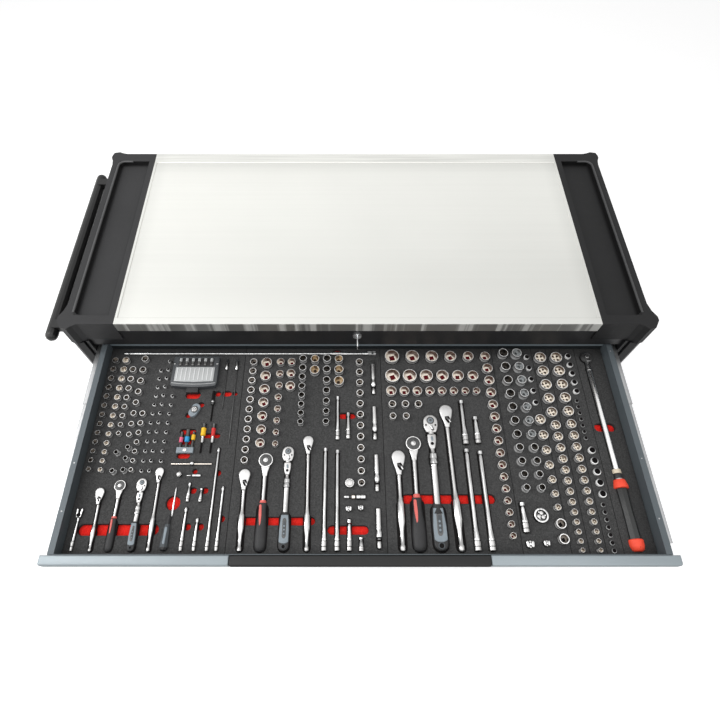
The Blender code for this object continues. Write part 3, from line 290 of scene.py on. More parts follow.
# Sprayed paint: orange peel, a little fleck and soft handling marks. With a pale colour, the drawer's back wall
# has it in its upper part as painted light, and a near-black painted shadow below that.
def powderCoat(name, colour, roughness=0.34, metallic=0.0, peel=420.0, shine=0.5, pale=None):
    surface = Surface(name)
    skin = surface.noise(peel, 2.0, 0.5)
    fleck = surface.cells(2600.0)
    clouds = surface.noise(5.0, 4.0, 0.6)
    marks = surface.noise(1.0, 3.0, 0.6, (30.0, 30.0, 180.0)).step(0.60, 0.80)
    paint = (clouds * 0.55 + fleck * 0.45).tint(scaled(colour, 0.88), scaled(colour, 1.12, 0.001))
    if pale:
        # Painted light on the back wall's upper part, painted shadow on its lower part
        above = wallTop * 0.42 + foamTop * 0.58
        wall = surface.axis(2).step(above - 0.0008, above).tint(scaled(pale, 0.09), pale)
        paint = surface.axis(1).step(bedBack - 0.0002, bedBack + 0.0002).tint(paint, wall)
    surface.bump(skin, 0.12, 0.0004)
    return surface.done(paint, roughness + 0.07 * skin + 0.08 * marks, metallic, shine)


# Closed-cell foam: speckled by its cells, with painted shade towards the drawer's walls, and cut lines where
# strips meet
def foam(name, dark, light, grooveShares=()):
    surface = Surface(name)
    fine = surface.noise(1300.0, 2.0, 0.7)
    cells = surface.cells(520.0)
    coarse = surface.noise(330.0, 2.0, 0.6).step(0.36, 0.66)
    specks = surface.noise(760.0, 1.0, 0.5).step(0.58, 0.70)
    shade = fine * 0.25 + cells * 0.25 + coarse * 0.25 + specks * 0.40 + surface.noise(7.0, 3.0) * 0.15
    depth = fine * 0.5 + cells * 0.5
    right = surface.axis(0)
    # Painted shade towards the side walls and the back wall
    shade = shade * (1 - 0.40 * abs(right - middleX).step(bedHalf - 0.060, bedHalf))
    shade = shade * (1 - 0.45 * surface.axis(1).step(bedBack - 0.030, bedBack - 0.006))
    for share in grooveShares:
        cut = abs(right - bedX(share)).step(0.0003, 0.0011)
        shade = shade * cut
        depth = depth + cut
    surface.bump(depth, 0.60, 0.0008)
    return surface.done(shade.tint(dark, light), 0.88 + 0.08 * fine, shine=0.15)


# Rubbery handle skin, dusty in its pores
def softGrip(name, colour, roughness=0.42):
    surface = Surface(name)
    pores = surface.noise(1800.0, 3.0, 0.6)
    dust = surface.noise(55.0, 4.0, 0.6).step(0.45, 0.75)
    surface.bump(pores, 0.25, 0.0005)
    skin = (pores * 0.5 + dust * 0.5).tint(scaled(colour, 0.85), scaled(colour, 1.15, 0.006))
    return surface.done(skin, roughness + 0.22 * pores, shine=0.35)


# Grey tread with a paler plastic hub inside it, by distance from the axle
def wheelRubber(name):
    low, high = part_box(name)
    surface = Surface(name + "Rubber")
    along, up = (surface.axis(index) - (low[index] + high[index]) / 2 for index in (0, 2))
    tread = ((up * up + along * along) ** 0.5).step(0.0462, 0.0470)
    grain = surface.noise(900.0, 3.0, 0.6)
    dust = surface.noise(35.0, 4.0, 0.6)
    rubber = (grain * 0.5 + dust * 0.5).tint(grey(0.030), grey(0.075))
    hub = (dust * 0.7 + grain * 0.3).tint(grey(0.26), grey(0.36))
    surface.bump(grain, 0.25, 0.0005)
    return surface.done(tread.tint(hub, rubber), 0.45 + 0.30 * tread + 0.10 * grain)


# Plain plywood: plies and end grain
def boardEdge(name):
    surface = Surface(name)
    plies = surface.noise(1.0, 2.0, 0.5, (6.0, 6.0, 700.0))
    grain = surface.noise(1.0, 3.0, 0.6, (14.0, 120.0, 120.0))
    surface.bump(grain, 0.2, 0.0005)
    wood = (plies * 0.6 + grain * 0.4).tint(tone(0.30, 0.19, 0.10), tone(0.55, 0.40, 0.24))
    return surface.done(wood, 0.7 + 0.15 * grain)


# Each finish: its maker, then the maker's values
finishes = {
    "worktop": (benchSteel,),
    # The trays are one plastic; the right one is a darker copy for painted shade
    "tray": (trayPlastic, tone(0.032, 0.032, 0.033), "left_tray", -1),
    "trayRight": (trayPlastic, tone(0.012, 0.012, 0.0125), "right_tray", 1),
    # A paler copy of the trays' plastic for the painted highlight along them, dimmer on the right
    "bead": (mouldedPlastic, tone(0.065, 0.065, 0.066), 2200.0, 0.34, 0.03),
    "beadRight": (mouldedPlastic, tone(0.040, 0.040, 0.041), 2200.0, 0.34, 0.03, 0.45),
    "bar": (mouldedPlastic, grey(0.007), 1800.0, 0.30, 0.03, 0.40),
    "body": (powderCoat, tone(0.010, 0.010, 0.011), 0.42, 0.0, 380.0, 0.2),
    "rail": (powderCoat, tone(0.010, 0.010, 0.011), 0.46, 0.0, 300.0),
    # One grey paint: a darker copy on the drawer's walls for painted shade, a paler one on the lip for painted
    # light
    "drawer": (powderCoat, tone(0.090, 0.106, 0.116), 0.42, 0.20, 420.0, 0.35, tone(0.25, 0.30, 0.33)),
    "lip": (powderCoat, tone(0.260, 0.298, 0.318), 0.38, 0.30),
    "grip": (mouldedPlastic, grey(0.008), 2600.0, 0.42, 0.075, 0.3),
    "zinc": (zincPlate, 0.40),
    "castor": (zincPlate, 0.50),
    "lock": (zincPlate, 0.95),
    "chrome": (chromePlate, 0.66, 0.13, 0.004, 0.12, 0.50),
    "satin": (chromePlate, 0.50, 0.13, 0.012, 0.24, 0.25),
    "headPlate": (chromePlate, 0.50, 0.16, 0.008, 0.30, 0.08),
    "rim": (chromePlate, 0.98, 0.10, 0.012, 0.12, 0.20, "facing", 0.35),
    # Painted shadow round sockets at the foam's face
    "skirt": (chromePlate, 0.28, 0.03, 0.0, 0.22, 0.30),
    # A painted highlight on one side of small rims, painted shade on the other
    "crescent": (chromePlate, 1.00, 0.045, 0.004, 0.16, 0.15, "gleam", 0.20),
    "faintRim": (chromePlate, 0.40, 0.030, 0.0, 0.24, 0.40, "gleam", 0.45),
    # A darker copy of the rim plating for painted shade on deep sockets' sides
    "tallRim": (chromePlate, 0.98, 0.025, 0.004, 0.16, 0.20, "facing", 0.12),
    "thinRim": (chromePlate, 0.50, 0.030, 0.0, 0.20, 0.40, "facing", 0.45),
    "tube": (chromePlate, 0.95, 0.12, 0.006, 0.16, 0.10),
    "phosphate": (chromePlate, 0.10, 0.03, 0.0, 0.32),
    "dial": (chromePlate, 0.085, 0.05, 0.0, 0.40),
    "rosy": (chromePlate, 0.80, 0.40, 0.10, 0.14),
    # Socket insides, painted light: a painted highlight colour under the mouth, a painted shade colour deep in
    # the bore
    "cup": (socketBore, tone(1.0, 0.91, 0.79), tone(0.060, 0.024, 0.014), 0.004, 0.013),
    "crossCup": (socketBore, tone(0.95, 0.87, 0.74), tone(0.080, 0.050, 0.032), 0.004, 0.013),
    "slimCup": (socketBore, tone(0.22, 0.19, 0.16), tone(0.014, 0.010, 0.009), 0.002, 0.012),
    "goldCup": (socketBore, tone(0.52, 0.38, 0.22), tone(0.09, 0.055, 0.03), 0.004, 0.016),
    "greyCup": (socketBore, tone(0.27, 0.285, 0.29), tone(0.09, 0.09, 0.088), 0.004, 0.016),
    "blackCup": (socketBore, tone(0.055, 0.046, 0.036), tone(0.006, 0.005, 0.005), 0.000, 0.013),
    # Dark fills: red foam seen through a drive hole in painted shade, painted shade inside sockets, and near
    # black for black parts and painted shade in holes and gaps
    "drive": (powderCoat, tone(0.090, 0.005, 0.008), 0.7, 0.0, 420.0, 0.1),
    "pit": (powderCoat, tone(0.045, 0.026, 0.018), 0.7, 0.0, 420.0, 0.1),
    "hollow": (powderCoat, tone(0.008, 0.007, 0.007), 0.8, 0.0, 420.0, 0.1),
    "foam": (foam, grey(0.018), grey(0.092)),
    "groovedFoam": (foam, grey(0.018), grey(0.092), (0.856, 0.8865, 0.9155, 0.944)),
    "redFoam": (foam, tone(0.55, 0.003, 0.004), tone(1.00, 0.045, 0.030)),
    "blackGrip": (softGrip, tone(0.018, 0.018, 0.019)),
    "torqueGrip": (softGrip, tone(0.018, 0.019, 0.0185), 0.26),
    "redGrip": (softGrip, tone(0.60, 0.030, 0.028)),
    "greyGrip": (softGrip, tone(0.23, 0.27, 0.30)),
    "greyDark": (softGrip, tone(0.060, 0.068, 0.074)),
    "orangeGrip": (softGrip, tone(0.88, 0.075, 0.035)),
    "yellowGrip": (softGrip, tone(0.85, 0.50, 0.020)),
    "blueGrip": (softGrip, tone(0.020, 0.30, 0.60)),
    "pinkGrip": (softGrip, tone(0.75, 0.12, 0.22)),
    "salmon": (softGrip, tone(0.70, 0.15, 0.13)),
    "ivory": (mouldedPlastic, tone(0.60, 0.52, 0.40), 1600.0, 0.34),
    "caseFrame": (mouldedPlastic, tone(0.050, 0.054, 0.058), 1600.0, 0.34),
    "caseLid": (mouldedPlastic, tone(0.40, 0.41, 0.41), 1500.0, 0.30),
    "caseRib": (mouldedPlastic, tone(0.60, 0.61, 0.61), 1500.0, 0.30),
    "pedal": (mouldedPlastic, grey(0.020), 900.0, 0.50),
    "board": (boardEdge,),
}
looks = {name: maker(name, *values) for name, (maker, *values) in finishes.items()}
print("finishes made:", len(looks))


# How far a point's face looks up, stored on the mesh for the plating's painted highlight
def markFacing(mesh, low=0.30, high=0.95):
    facing = mesh.attributes.new("facing", "FLOAT", "POINT")
    for vert in mesh.vertices:
        share = min(max((vert.normal.z - low) / (high - low), 0.0), 1.0)
        facing.data[vert.index].value = share * share * (3 - 2 * share)


def piece(name, mesh, body, *lookNames):
    item = bpy.data.objects.new(name, mesh)
    scene.collection.objects.link(item)
    for look in lookNames:
        mesh.materials.append(looks[look])
    markFacing(mesh)
    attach(item, body)
    return item


# Flat outlines, the first outside and the others holes in it, with rounded edges
def outlineMesh(name, outlines, low, high, rounding=0.0, steps=2):
    curve = bpy.data.curves.new(name, "CURVE")
    curve.dimensions = "2D"
    curve.fill_mode = "BOTH"
    curve.extrude = (high - low) / 2 - rounding
    curve.bevel_depth = rounding
    curve.bevel_resolution = steps
    curve.offset = -rounding
    for outline in outlines:
        spline = curve.splines.new("POLY")
        spline.points.add(len(outline) - 1)
        for point, (x, y) in zip(spline.points, outline):
            point.co = (x, y, 0, 1)
        spline.use_cyclic_u = True
    holder = bpy.data.objects.new(name, curve)
    scene.collection.objects.link(holder)
    bpy.context.view_layer.update()
    mesh = bpy.data.meshes.new_from_object(holder.evaluated_get(bpy.context.evaluated_depsgraph_get()))
    bpy.data.objects.remove(holder, do_unlink=True)
    shape = bmesh.new()
    shape.from_mesh(mesh)
    bmesh.ops.remove_doubles(shape, verts=shape.verts, dist=0.00002)
    bmesh.ops.translate(shape, vec=(0, 0, (low + high) / 2), verts=shape.verts)
    bmesh.ops.recalc_face_normals(shape, faces=shape.faces)
    shape.to_mesh(mesh)
    shape.free()
    mesh.shade_smooth()
    mesh.set_sharp_from_angle(angle=math.radians(38))
    return mesh


def arc(centre, radius, start, end, steps):
    angles = [math.radians(start + (end - start) * step / steps) for step in range(steps + 1)]
    return [(centre[0] + radius * math.cos(angle), centre[1] + radius * math.sin(angle)) for angle in angles]


def capsule(start, end, radius, steps=7):
    turn = math.degrees(math.atan2(end[1] - start[1], end[0] - start[0]))
    return arc(end, radius, turn - 90, turn + 90, steps) + arc(start, radius, turn + 90, turn + 270, steps)


def oblong(left, right, near, back):
    return [(left, near), (right, near), (right, back), (left, back)]


# Shapes of many small tools gathered in one mesh, each face with its finish
class Kit:
    def __init__(self, *lookNames):
        self.shape = bmesh.new()
        self.lookNames = list(lookNames)

    def slotOf(self, look):
        if look not in self.lookNames:
            self.lookNames.append(look)
        return self.lookNames.index(look)

    def face(self, corners, look, smooth=False):
        face = self.shape.faces.new(corners)
        face.material_index = self.slotOf(look)
        face.smooth = smooth

    # Faces between rings of points, closed at both ends, with a look for each stretch between two rings
    def skin(self, rings, stretchLooks, smooth=True):
        for lower, upper, look in zip(rings, rings[1:], stretchLooks):
            for corner in range(len(lower)):
                after = (corner + 1) % len(lower)
                self.face((lower[corner], lower[after], upper[after], upper[corner]), look, smooth)
        self.face(list(reversed(rings[0])), stretchLooks[0])
        self.face(rings[-1], stretchLooks[-1])

    # A turned bar along a line: stations are (share along, radius, look of what follows)
    def turned(self, stations, start, end, sides=14, flat=1.0):
        start, end = Vector(start), Vector(end)
        side = (end - start).normalized().cross(Vector((0, 0, 1))).normalized()
        up = side.cross((end - start).normalized())
        rings = []
        for share, radius, look in stations:
            angles = [math.tau * (index + 0.5) / sides for index in range(sides)]
            rings.append([self.shape.verts.new(start.lerp(end, share) + side * math.cos(angle) * radius
                                               + up * math.sin(angle) * radius * flat) for angle in angles])
        self.skin(rings, [look for share, radius, look in stations[:-1]], sides > 6)

    def plate(self, outline, low, high, look, rounding=0.001, holes=()):
        mesh = outlineMesh("plate", [outline, *holes], low, high, rounding)
        before = len(self.shape.faces)
        self.shape.from_mesh(mesh)
        self.shape.faces.ensure_lookup_table()
        for face in self.shape.faces[before:]:
            face.material_index = self.slotOf(look)
            face.smooth = True
        bpy.data.meshes.remove(mesh)

    # A short round boss, or a ring when it has an inner radius
    def disc(self, centre, radius, low, high, look, sides=20, inner=0.0):
        outline = arc(centre, radius, 0, 360 - 360 / sides, sides - 1)
        holes = [arc(centre, inner, 0, 360 - 360 / sides, sides - 1)] if inner else []
        self.plate(outline, low, high, look, min(0.0006, (high - low) * 0.3), holes)

    def finish(self, name, body):
        bmesh.ops.recalc_face_normals(self.shape, faces=self.shape.faces)
        mesh = bpy.data.meshes.new(name)
        self.shape.to_mesh(mesh)
        self.shape.free()
        mesh.set_sharp_from_angle(angle=math.radians(35))
        return piece(name, mesh, body, *self.lookNames)


# Cabinet: the frame's own shapes, each with its finish and the width of its softened edges
cabinet = {
    "worktop": ("worktop", 0.0006), "worktop_core": ("board", 0.0), "top_rail": ("rail", 0.0008),
    "left_side": ("body", 0.0008), "right_side": ("body", 0.0008), "back_panel": ("body", 0.0),
    "base_pan": ("body", 0.0), "left_tray": ("tray", 0.0016), "right_tray": ("trayRight", 0.0016),
    "push_bar": ("bar", 0.0), "lock_barrel": ("lock", 0.0004), "lock_plug": ("lock", 0.0003),
    "lock_key": ("lock", 0.0004), "drawer_1_box": ("drawer", 0.0005),
    "drawer_1_runner_left": ("zinc", 0.0004), "drawer_1_runner_right": ("zinc", 0.0004),
}
for number in range(1, 7):
    stem = "drawer_" + str(number) + "_"
    if number > 1:
        cabinet.update({stem + "grip": ("grip", 0.0008), stem + "box": ("lip", 0.0005)})
    cabinet.update({stem + "mid_rail_left": ("zinc", 0.0), stem + "mid_rail_right": ("zinc", 0.0)})
for end in ("front", "rear"):
    cabinet.update({"push_bar_bracket_" + end: ("bar", 0.0015), "brake_pedal_" + end: ("pedal", 0.001),
                    "fixed_fork_" + end: ("castor", 0.001), "swivel_fork_" + end: ("castor", 0.001)})
    for side in ("left", "right"):
        name = "wheel_" + end + "_" + side
        looks[name] = wheelRubber(name)
        cabinet[name] = (name, 0.0)
for name, (look, width) in cabinet.items():
    nodes[name].data.materials.clear()
    nodes[name].data.materials.append(looks[look])
    if width:
        edge = nodes[name].modifiers.new("softened", "BEVEL")
        edge.width = width
        edge.segments = 2
        edge.limit_method = "ANGLE"
        edge.angle_limit = math.radians(40)
        edge.harden_normals = False
print("cabinet painted")

# Front of the first drawer: a folded lip that stands out over its panel, the moulded pull between its halves
drawerFront = {"lipDepth": 0.020, "setBack": 0.0092, "corner": 0.005, "round": 0.0030, "hem": 0.0006,
               "pullDepth": 0.0105, "pullRound": 0.0034, "pullWall": 0.0045, "pullSkin": 0.003,
               "pullHem": 0.0008, "seam": 0.0003, "overlap": 0.002}
frontLow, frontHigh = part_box("drawer_1_front")
pullLow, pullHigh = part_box("drawer_1_grip")
panelNear = frontLow[1] + drawerFront["setBack"]


# A bar seen from above, with one or both of its front corners rounded
def cornered(left, right, near, back, rounded=(True, True)):
    turn = drawerFront["corner"]
    first = arc((left + turn, near + turn), turn, 180, 270, 5) if rounded[0] else [(left, near)]
    second = arc((right - turn, near + turn), turn, 270, 360, 5) if rounded[1] else [(right, near)]
    return [(left, back), *first, *second, (right, back)]


seam, overlap = drawerFront["seam"], drawerFront["overlap"]
lip = Kit("lip")
lipLow = frontHigh[2] - drawerFront["lipDepth"]
for left, right, rounded in ((frontLow[0], pullLow[0] - seam, (True, False)),
                             (pullHigh[0] + seam, frontHigh[0], (False, True))):
    lip.plate(cornered(left, right, frontLow[1], frontHigh[1], rounded), lipLow, frontHigh[2], "lip",
              drawerFront["round"])
    lip.plate(cornered(left, right, panelNear, frontHigh[1], rounded), pullLow[2], lipLow + 2 * overlap, "lip",
              drawerFront["hem"])
lip.plate(cornered(frontLow[0], frontHigh[0], panelNear, frontHigh[1]), frontLow[2], pullLow[2] - seam, "lip",
          2 * drawerFront["hem"])
item = lip.finish("drawerLip", "drawer_1")
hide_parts("drawer_1_front")

pull = Kit("grip")
pullFoot = pullHigh[2] - drawerFront["pullDepth"]
(left, near, low), (right, back, high), skin = pullLow, pullHigh, drawerFront["pullSkin"]
pull.plate(cornered(left, right, near, back), pullFoot, high, "grip", drawerFront["pullRound"])
for sides, bottom, top in (
        ((left, right, back - drawerFront["pullWall"], back), low, pullFoot + overlap),
        ((left, right, panelNear, back - overlap / 2), low, low + skin),
        ((left, left + skin, panelNear, back - overlap / 2), low + overlap, pullFoot + overlap),
        ((right - skin, right, panelNear, back - overlap / 2), low + overlap, pullFoot + overlap)):
    pull.plate(oblong(*sides), bottom, top, "grip", drawerFront["pullHem"])
item = pull.finish("drawerPull", "drawer_1")
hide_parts("drawer_1_grip")

# Trays: the round bead that stands along the outer edge of each well, around its rear corner, in a paler copy of
# the trays' plastic as a painted highlight, dimmer on the right tray
trayBead = {"radius": 0.0026, "corner": 0.016, "reach": 0.020, "aside": 0.0022, "sunk": 0.0010, "sides": 10}
beads = Kit("bead")
for name, side in (("left_tray", -1), ("right_tray", 1)):
    low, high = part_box(name)
    edge = (low[0] if side < 0 else high[0]) - side * (trayWell["outRim"] - trayBead["aside"])
    back, turn = high[1] - trayWell["back"], trayBead["corner"]
    path = [(edge - side * (turn + trayBead["reach"]), back)]
    path += arc((edge - side * turn, back - turn), turn, 90, 90 - 90 * side, 8)
    path += [(edge, low[1] + trayWell["front"] + turn * 0.4)]
    path = [Vector((x, y, high[2] - trayBead["sunk"])) for x, y in path]
    rings = []
    for index, place in enumerate(path):
        along = (path[min(index + 1, len(path) - 1)] - path[max(index - 1, 0)]).normalized()
        aside = along.cross(Vector((0, 0, 1))).normalized()
        circle = arc((0, 0), trayBead["radius"], 0, 360 - 360 / trayBead["sides"], trayBead["sides"] - 1)
        rings.append([beads.shape.verts.new(place + aside * out + Vector((0, 0, up))) for out, up in circle])
    beads.skin(rings, ["bead" if side < 0 else "beadRight"] * (len(rings) - 1))
item = beads.finish("trayBeads", "cabinet")

# Foam: four inlays whose notches show the red sheet that rises through them
# A notch is (first across, last across, forward, half width) in shares of the bed
foamBed = {
    "seamShares": (0.0, 0.274, 0.5475, 0.775, 1.0),
    "notchShares": {
        1: ((0.0265, 0.147, 0.893, 0.024), (0.2275, 0.2275, 0.254, 0.015), (0.242, 0.2485, 0.254, 0.015),
            (0.2605, 0.2615, 0.254, 0.011), (0.246, 0.246, 0.647, 0.015), (0.204, 0.204, 0.639, 0.012),
            (0.206, 0.206, 0.726, 0.015), (0.227, 0.227, 0.726, 0.015), (0.205, 0.205, 0.881, 0.015),
            (0.227, 0.227, 0.881, 0.015), (0.262, 0.262, 0.848, 0.015), (0.1735, 0.1735, 0.780, 0.032),
            (0.172, 0.186, 0.262, 0.019), (0.198, 0.198, 0.313, 0.014), (0.176, 0.176, 0.367, 0.014),
            (0.172, 0.185, 0.566, 0.014), (0.171, 0.190, 0.450, 0.014), (0.212, 0.237, 0.470, 0.012),
            (0.175, 0.189, 0.500, 0.013)),
        2: ((0.458, 0.4635, 0.019, 0.013), (0.306, 0.417, 0.857, 0.018), (0.453, 0.509, 0.894, 0.019),
            (0.470, 0.490, 0.370, 0.016)),
        3: ((0.584, 0.733, 0.763, 0.021),),
        4: ((0.9555, 0.9795, 0.429, 0.020),),
    },
    "redSheet": 0.005, "padDrop": 0.0085, "padRoom": 0.0002,
}


def notchOutline(notch, room=0.0):
    first, last, along, radius = notch
    return capsule((bedX(first), bedY(along)), (bedX(last) + 0.00001, bedY(along)), radius * bedDepth - room, 8)


red = Kit("redFoam")
sheetHigh = bedBox[0][2] + foamBed["redSheet"]
red.plate(oblong(bedX(0), bedX(1), bedNear, bedBack), bedBox[0][2], sheetHigh, "redFoam", 0.0006)
for number, notches in foamBed["notchShares"].items():
    left = bedX(foamBed["seamShares"][number - 1]) + bed["edge"]
    right = bedX(foamBed["seamShares"][number]) - bed["edge"]
    outlines = [oblong(left, right, bedNear + bed["edge"], bedBack - bed["edge"])]
    outlines += [notchOutline(notch) for notch in notches]
    for notch in notches:
        red.plate(notchOutline(notch, foamBed["padRoom"]), sheetHigh - 0.0010, foamTop - foamBed["padDrop"],
                  "redFoam", 0.0008)
    inlay = outlineMesh("inlay", outlines, foamLow, foamTop, 0.0008, 1)
    item = piece("inlay" + str(number), inlay, "drawer_1", "groovedFoam" if number == 4 else "foam")
    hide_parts("foam_inlay_" + str(number))
item = red.finish("redSheet", "drawer_1")
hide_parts("red_foam")
print("foam cut")

# Sockets, standing mouth up in their holes, by kind. A column is (across, first forward, last forward, how
# many, first width, last width), a row (first across, last across, forward, how many, first width, last width)
sockets = {
    "wide": {
        "wall": 0.12, "floor": 0.67, "drive": 0.48, "lobes": 0.03, "rise": 0.010, "turn": 0.5,
        "gleam": (1, 225), "looks": ("rim", "cup", "drive", "hollow"),
        "columnShares": (
            (0.319, 0.092, 0.512, 7, 0.054, 0.043), (0.347, 0.088, 0.516, 8, 0.039, 0.028),
            (0.369, 0.088, 0.221, 3, 0.040, 0.048), (0.760, 0.124, 0.921, 15, 0.051, 0.027)),
        "rowShares": (
            (0.571, 0.759, 0.056, 6, 0.073, 0.049), (0.570, 0.729, 0.165, 6, 0.073, 0.054),
            (0.566, 0.732, 0.248, 8, 0.051, 0.036)),
    },
    "crossed": {
        "wall": 0.14, "floor": 0.74, "drive": 0.24, "lobes": 0.03, "rise": 0.010, "turn": 0.5,
        "gleam": (1, 235), "looks": ("rim", "crossCup", "pit", "hollow"), "pits": 0.68,
        "columnShares": (
            (0.845, 0.396, 0.803, 7, 0.049, 0.028), (0.870, 0.062, 0.358, 5, 0.058, 0.050),
            (0.872, 0.424, 0.979, 13, 0.045, 0.019), (0.902, 0.062, 0.353, 5, 0.058, 0.050),
            (0.902, 0.418, 0.979, 13, 0.045, 0.019), (0.036, 0.079, 0.638, 13, 0.034, 0.021)),
    },
    "thin": {
        "wall": 0.13, "floor": 0.68, "drive": 0.50, "rise": 0.010, "gleam": (2, 60),
        "looks": ("thinRim", "slimCup", "hollow", "hollow"),
        "columnShares": ((0.015, 0.079, 0.636, 13, 0.030, 0.021),),
    },
    "slim": {
        "wall": 0.20, "floor": 0.72, "drive": 0.50, "lobes": 0.07, "rise": 0.010, "gleam": (2, 60),
        "looks": ("rim", "slimCup", "hollow", "hollow"),
        "columnShares": (
            (0.074, 0.071, 0.471, 8, 0.034, 0.024), (0.054, 0.131, 0.465, 8, 0.032, 0.021),
            (0.091, 0.366, 0.638, 7, 0.027, 0.020), (0.293, 0.088, 0.593, 11, 0.036, 0.032),
            (0.505, 0.088, 0.696, 12, 0.036, 0.031), (0.845, 0.872, 0.934, 2, 0.043, 0.043)),
        "rowShares": ((0.567, 0.617, 0.317, 3, 0.036, 0.036), (0.567, 0.592, 0.379, 2, 0.032, 0.032)),
    },
    "small": {
        "wall": 0.26, "floor": 0.80, "drive": 0.30, "rise": 0.006, "turn": 1.0, "gleam": (1, 200),
        "looks": ("crescent", "hollow", "hollow", "hollow"),
        "columnShares": (
            (0.109, 0.133, 0.640, 12, 0.016, 0.016), (0.123, 0.081, 0.640, 13, 0.016, 0.016),
            (0.141, 0.272, 0.595, 8, 0.016, 0.016), (0.928, 0.051, 0.246, 5, 0.030, 0.030),
            (0.930, 0.544, 0.743, 5, 0.034, 0.034), (0.844, 0.056, 0.306, 5, 0.028, 0.028)),
    },
    "faint": {
        "wall": 0.26, "floor": 0.90, "drive": 0.30, "rise": 0.003, "turn": 1.0, "gleam": (1, 200),
        "looks": ("faintRim", "hollow", "hollow", "hollow"),
        "columnShares": ((0.925, 0.296, 0.484, 7, 0.020, 0.020), (0.927, 0.790, 0.979, 7, 0.021, 0.021)),
    },
    "deep": {
        "wall": 0.15, "floor": 0.60, "drive": 0.34, "looks": ("tallRim", "blackCup", "hollow", "hollow"),
        "until": 0.52,
        "columnShares": (
            (0.392, 0.073, 0.411, 8, 0.037, 0.027), (0.440, 0.073, 0.409, 7, 0.040, 0.029),
            (0.796, 0.041, 0.719, 11, 0.048, 0.030)),
    },
    "gold": {
        "wall": 0.13, "floor": 0.66, "drive": 0.44, "looks": ("tallRim", "goldCup", "pit", "hollow"),
        "columnShares": ((0.416, 0.075, 0.137, 2, 0.042, 0.048), (0.464, 0.075, 0.197, 3, 0.041, 0.049)),
    },
    "pale": {
        "wall": 0.13, "floor": 0.80, "drive": 0.40, "looks": ("tallRim", "greyCup", "greyCup", "hollow"),
        "until": 0.52, "columnShares": ((0.823, 0.041, 0.719, 11, 0.048, 0.030),),
    },
    "skirted": {
        "wall": 0.16, "floor": 0.62, "drive": 0.34, "looks": ("tallRim", "blackCup", "hollow", "skirt"),
        "from": 0.52, "skirt": 0.22,
        "columnShares": (
            (0.059, 0.559, 0.645, 2, 0.021, 0.021), (0.078, 0.535, 0.640, 3, 0.021, 0.021),
            (0.796, 0.041, 0.719, 11, 0.048, 0.030), (0.823, 0.041, 0.719, 11, 0.048, 0.030)),
    },
}
# What a kind has unless it says otherwise
plainSocket = {"lobes": 0.05, "rise": 0.0135, "skirt": 0.10, "gleam": (3, 0), "turn": math.tau, "from": 0,
               "until": 1, "pits": 0.0, "rowShares": ()}
socketSink = 0.016  # how deep each stands under the foam's face
socketSeed = 11


# Places from start to end, stepping wider where the pieces are wider, each with its width
def spread(start, end, count, first, last, ratio=1.0):
    widths = [first + (last - first) * (index + 0.5) / (count - 1) for index in range(count - 1)]
    steps = [(width + (first + last) * 0.35) * ratio for width in widths]
    places = [start]
    for step in steps:
        places.append(places[-1] + step * (end - start) / sum(steps))
    return [(place, first + (last - first) * index / (count - 1)) for index, place in enumerate(places)]


# (x, y, radius) of each socket of a kind
def socketPlaces(kind):
    found = [(bedX(across), bedY(share), width * bedDepth / 2)
             for across, *line in kind["columnShares"] for share, width in spread(*line)
             if kind["from"] <= share < kind["until"]]
    ratio = bedDepth / (2 * bedHalf)
    return found + [(bedX(share), bedY(along), width * bedDepth / 2)
                    for start, end, along, *line in kind["rowShares"]
                    for share, width in spread(start, end, *line, ratio)]


